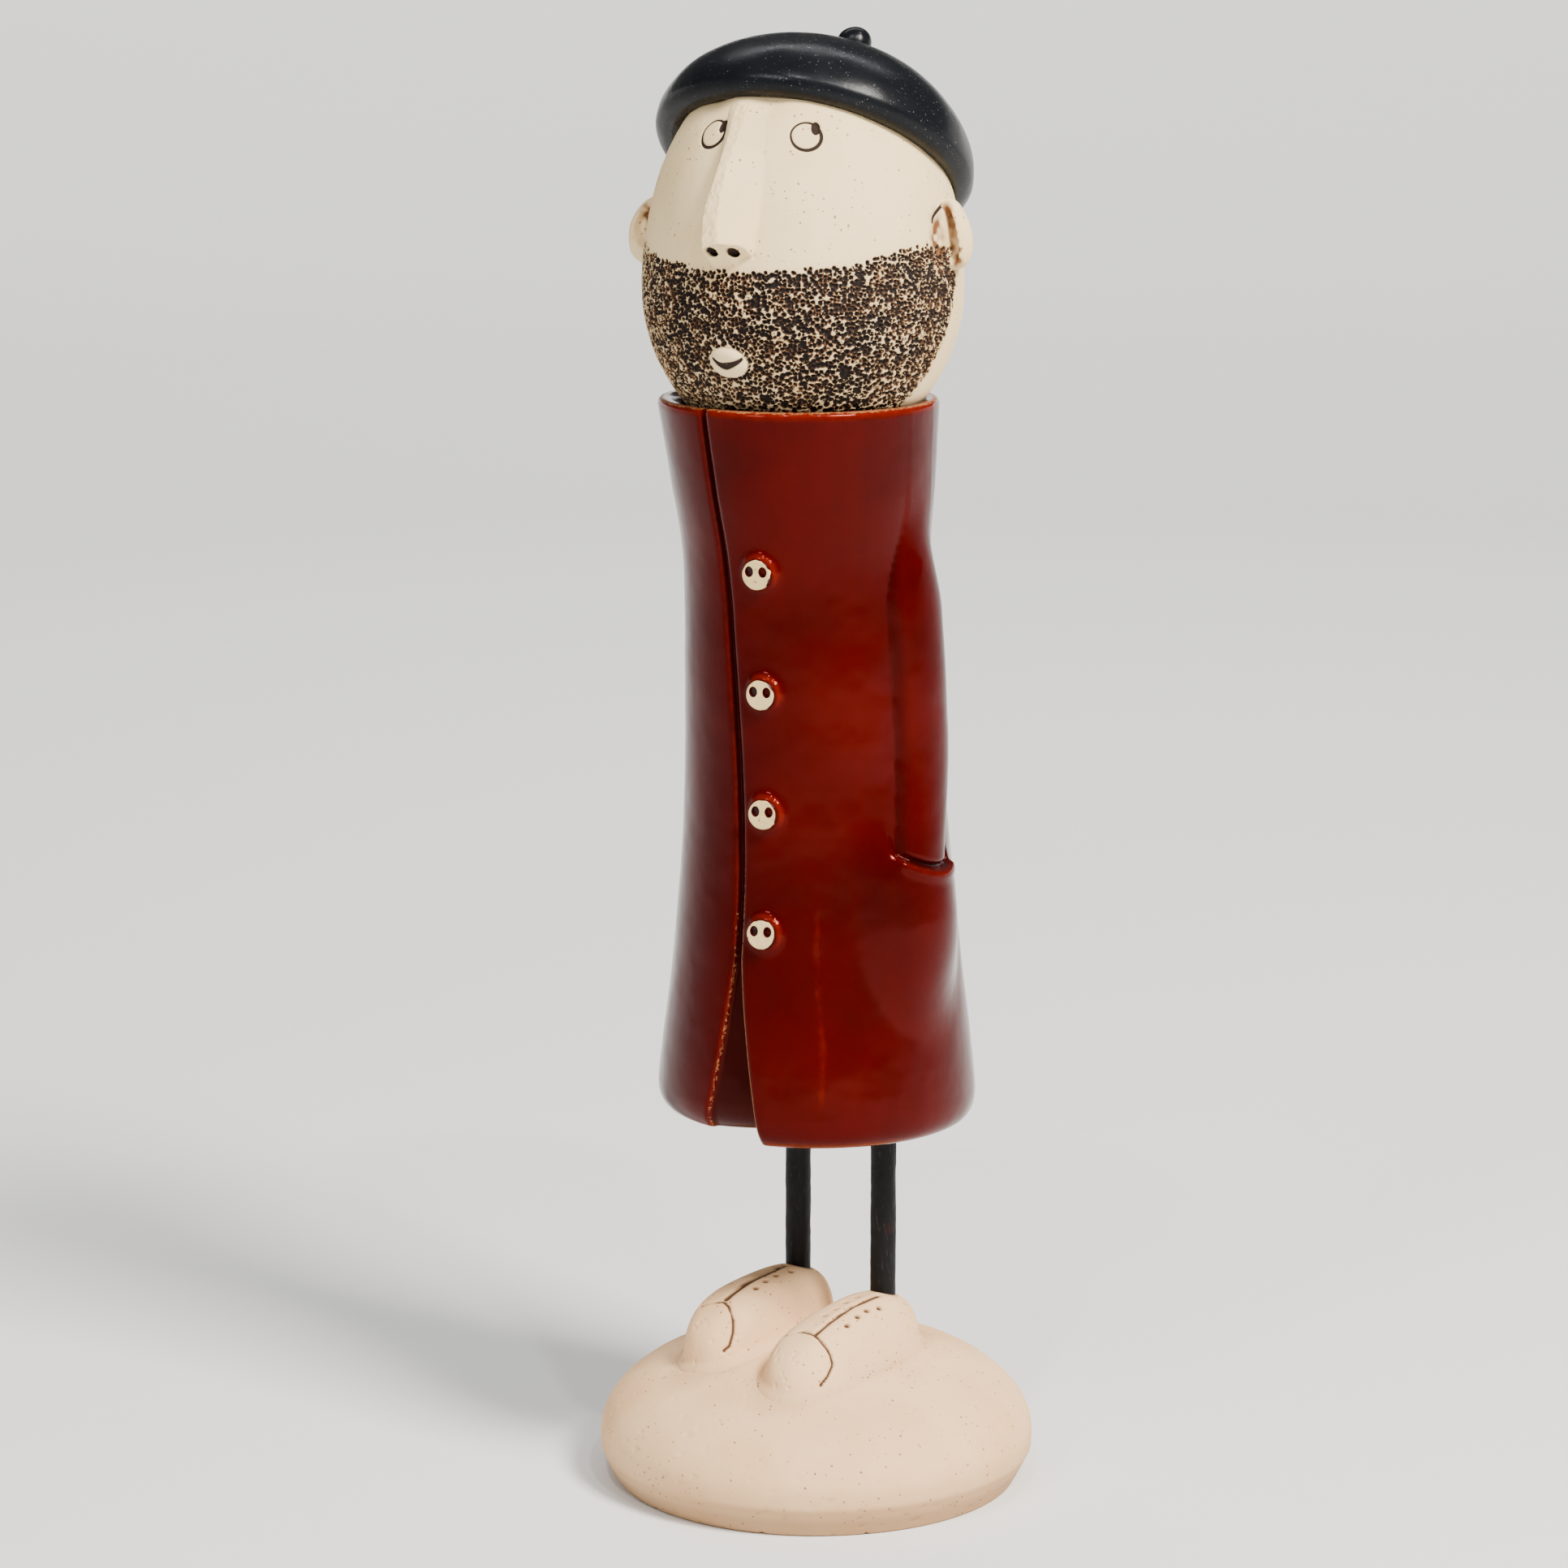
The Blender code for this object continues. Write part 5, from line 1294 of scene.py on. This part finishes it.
def build_beret(material):
    """Puffed cap with a rolled rim, and the stub on its crown."""
    middle, across, back, crown = beret_frame()
    under = [(share * BERET_RADIUS, -0.45 * BERET_RIM_DEPTH) for share in np.linspace(0.55, 0.74, 10)]
    roll = []
    for slope in np.radians(np.linspace(-112, -4, 40)):
        reach = BERET_RADIUS - 0.55 * BERET_RIM_DEPTH * (1.0 - math.cos(slope))
        roll.append((reach, 0.55 * BERET_RIM_DEPTH * math.sin(slope)))
    dome = []
    for slope in np.radians(np.linspace(0, 89.2, 150)):
        dome.append((BERET_RADIUS * math.cos(slope) ** BERET_TAPER, BERET_DOME * math.sin(slope)))
    profile = np.array(under + roll + dome)
    turns = np.linspace(0.0, math.tau, 280, endpoint=False)
    x = profile[:, None, 0] * np.sin(turns)
    y = -profile[:, None, 0] * np.cos(turns)
    z = profile[:, None, 1] + 0.0 * turns
    x = x + BERET_LEAN * np.clip(z / BERET_DOME, 0.0, None) ** 2
    points = middle + x[..., None] * across + y[..., None] * back + z[..., None] * crown
    normals = grid_normals(points, True)
    if normals[-5, 0] @ crown < 0.0:
        normals = -normals
    stub_gap = np.hypot(x - BERET_STUB_TO_SIDE, y + BERET_STUB_TO_FRONT)
    wobble = 0.00035 * noise(points, 0.022, 91) + 0.00008 * noise(points, 0.006, 92) - 0.0003
    fillet = 0.0009 * bump(np.clip(stub_gap - BERET_STUB_RADIUS, 0.0, None), 0.0011) * (z > 0.0)
    points = points + normals * (wobble + fillet)[..., None]
    add_piece("beret_cap", points, material, "beret", caps=(False, True))
    stub_share = math.hypot(BERET_STUB_TO_SIDE - BERET_LEAN, BERET_STUB_TO_FRONT) / BERET_RADIUS
    stub_rise = BERET_DOME * math.sqrt(1.0 - stub_share ** (2.0 / BERET_TAPER)) + BERET_STUB_CLEAR
    slope = np.linspace(-0.5 * math.pi + 0.02, 0.5 * math.pi - 0.02, 60)[:, None]
    turns = np.linspace(0.0, math.tau, 80, endpoint=False)[None, :]
    x = BERET_STUB_TO_SIDE + BERET_STUB_RADIUS * np.cos(slope) * np.sin(turns)
    y = -BERET_STUB_TO_FRONT - BERET_STUB_RADIUS * np.cos(slope) * np.cos(turns)
    z = stub_rise + BERET_STUB_HEIGHT * np.sign(np.sin(slope)) * np.abs(np.sin(slope)) ** 0.9 + 0.0 * turns
    points = middle + x[..., None] * across + y[..., None] * back + z[..., None] * crown
    points = points + 0.00022 * np.stack([noise(points, 0.0035, 93 + axis) for axis in range(3)], axis=-1)
    add_piece("beret_stub", points, material, "beret", caps=(True, True))


# Floor, light and camera
def plain(name, colour, roughness):
    """Plain material for the floor."""
    finish = Finish(name)
    finish.set(Base_Color=(*colour, 1.0), Roughness=roughness)
    return finish.material


def build_floor():
    """Pale round floor that curves up all round."""
    profile = np.array([(0.002, 0.0), (0.6, 0.0), (1.9, 0.0), (2.3, 0.06), (2.6, 0.25), (2.75, 0.6), (2.8, 0.8)])
    turns = np.linspace(0.0, math.tau, 96, endpoint=False)
    grid = outward(turns) * profile[:, None, 0, None] + 0.0
    grid[..., 2] = profile[:, None, 1] - 0.0002
    mesh = bpy.data.meshes.new("floor")
    mesh.from_pydata(grid.reshape(-1, 3).tolist(), [], grid_faces(len(profile), turns.size, True).tolist())
    mesh.materials.append(plain("floor_paint", (0.86, 0.86, 0.85), 0.7))
    mesh.shade_smooth()
    floor = bpy.data.objects.new("floor", mesh)
    bpy.context.scene.collection.objects.link(floor)


def add_light(name, turn, distance, height, width, tall, power, colour=(1.0, 1.0, 1.0), aim=(0.0, 0.0, 0.2)):
    """Soft rectangular light aimed at the figure or elsewhere; its turn is measured from the camera's."""
    data = bpy.data.lights.new(name, "AREA")
    data.shape = "RECTANGLE"
    data.size, data.size_y = width, tall
    data.energy = power
    data.color = colour
    lamp = bpy.data.objects.new(name, data)
    place = Vector(outward(CAMERA_TURN + turn) * distance)
    place.z = height
    lamp.location = place
    lamp.rotation_euler = (place - Vector(aim)).to_track_quat("Z", "Y").to_euler()
    bpy.context.scene.collection.objects.link(lamp)


def build_light():
    """White room, one large light above the camera's left, and small ones that give the glaze its points."""
    world = bpy.data.worlds.new("room")
    world.use_nodes = True
    background = world.node_tree.nodes["Background"]
    background.inputs["Color"].default_value = (1.0, 0.99, 0.97, 1.0)
    background.inputs["Strength"].default_value = 0.10
    bpy.context.scene.world = world
    behind = -outward(CAMERA_TURN) * 2.3
    add_light("key", math.radians(44), 1.35, 1.60, 0.50, 0.50, 92.0, (1.0, 0.955, 0.885))
    add_light("second", math.radians(-36), 1.6, 1.3, 0.40, 0.40, 10.0)
    add_light("backdrop", math.radians(180), 1.0, 1.9, 2.0, 0.6, 45.0, aim=(behind[0], behind[1], 0.5))
    add_light("spot_near", math.radians(-14), 1.1, 1.75, 0.07, 0.07, 8.0)
    add_light("spot_side", math.radians(20), 1.2, 1.75, 0.07, 0.07, 8.0)


def build_camera():
    """Camera where the photograph was taken from."""
    away = outward(CAMERA_TURN)
    sideways = np.array([math.cos(CAMERA_TURN), math.sin(CAMERA_TURN), 0.0])
    place = Vector(away * CAMERA_DISTANCE)
    place.z = CAMERA_HEIGHT
    target = Vector(sideways * AIM_SIDEWAYS)
    target.z = AIM_HEIGHT
    data = bpy.data.cameras.new("camera")
    data.sensor_width = SENSOR_WIDTH
    data.lens = FOCAL_PIXELS / PHOTO_WIDTH * SENSOR_WIDTH
    camera = bpy.data.objects.new("camera", data)
    camera.location = place
    camera.rotation_euler = (target - place).to_track_quat("-Z", "Y").to_euler()
    bpy.context.scene.collection.objects.link(camera)
    bpy.context.scene.camera = camera


build_camera()
build_light()
build_floor()
pale_clay = base_clay()
build_base(pale_clay)
build_shoes(pale_clay)
build_legs(black_iron())
build_coat(red_glaze())
build_buttons(button_clay())
cream_clay = face_clay()
build_head(cream_clay)
build_mouth(cream_clay)
build_ears(cream_clay)
build_beret(beret_glaze())
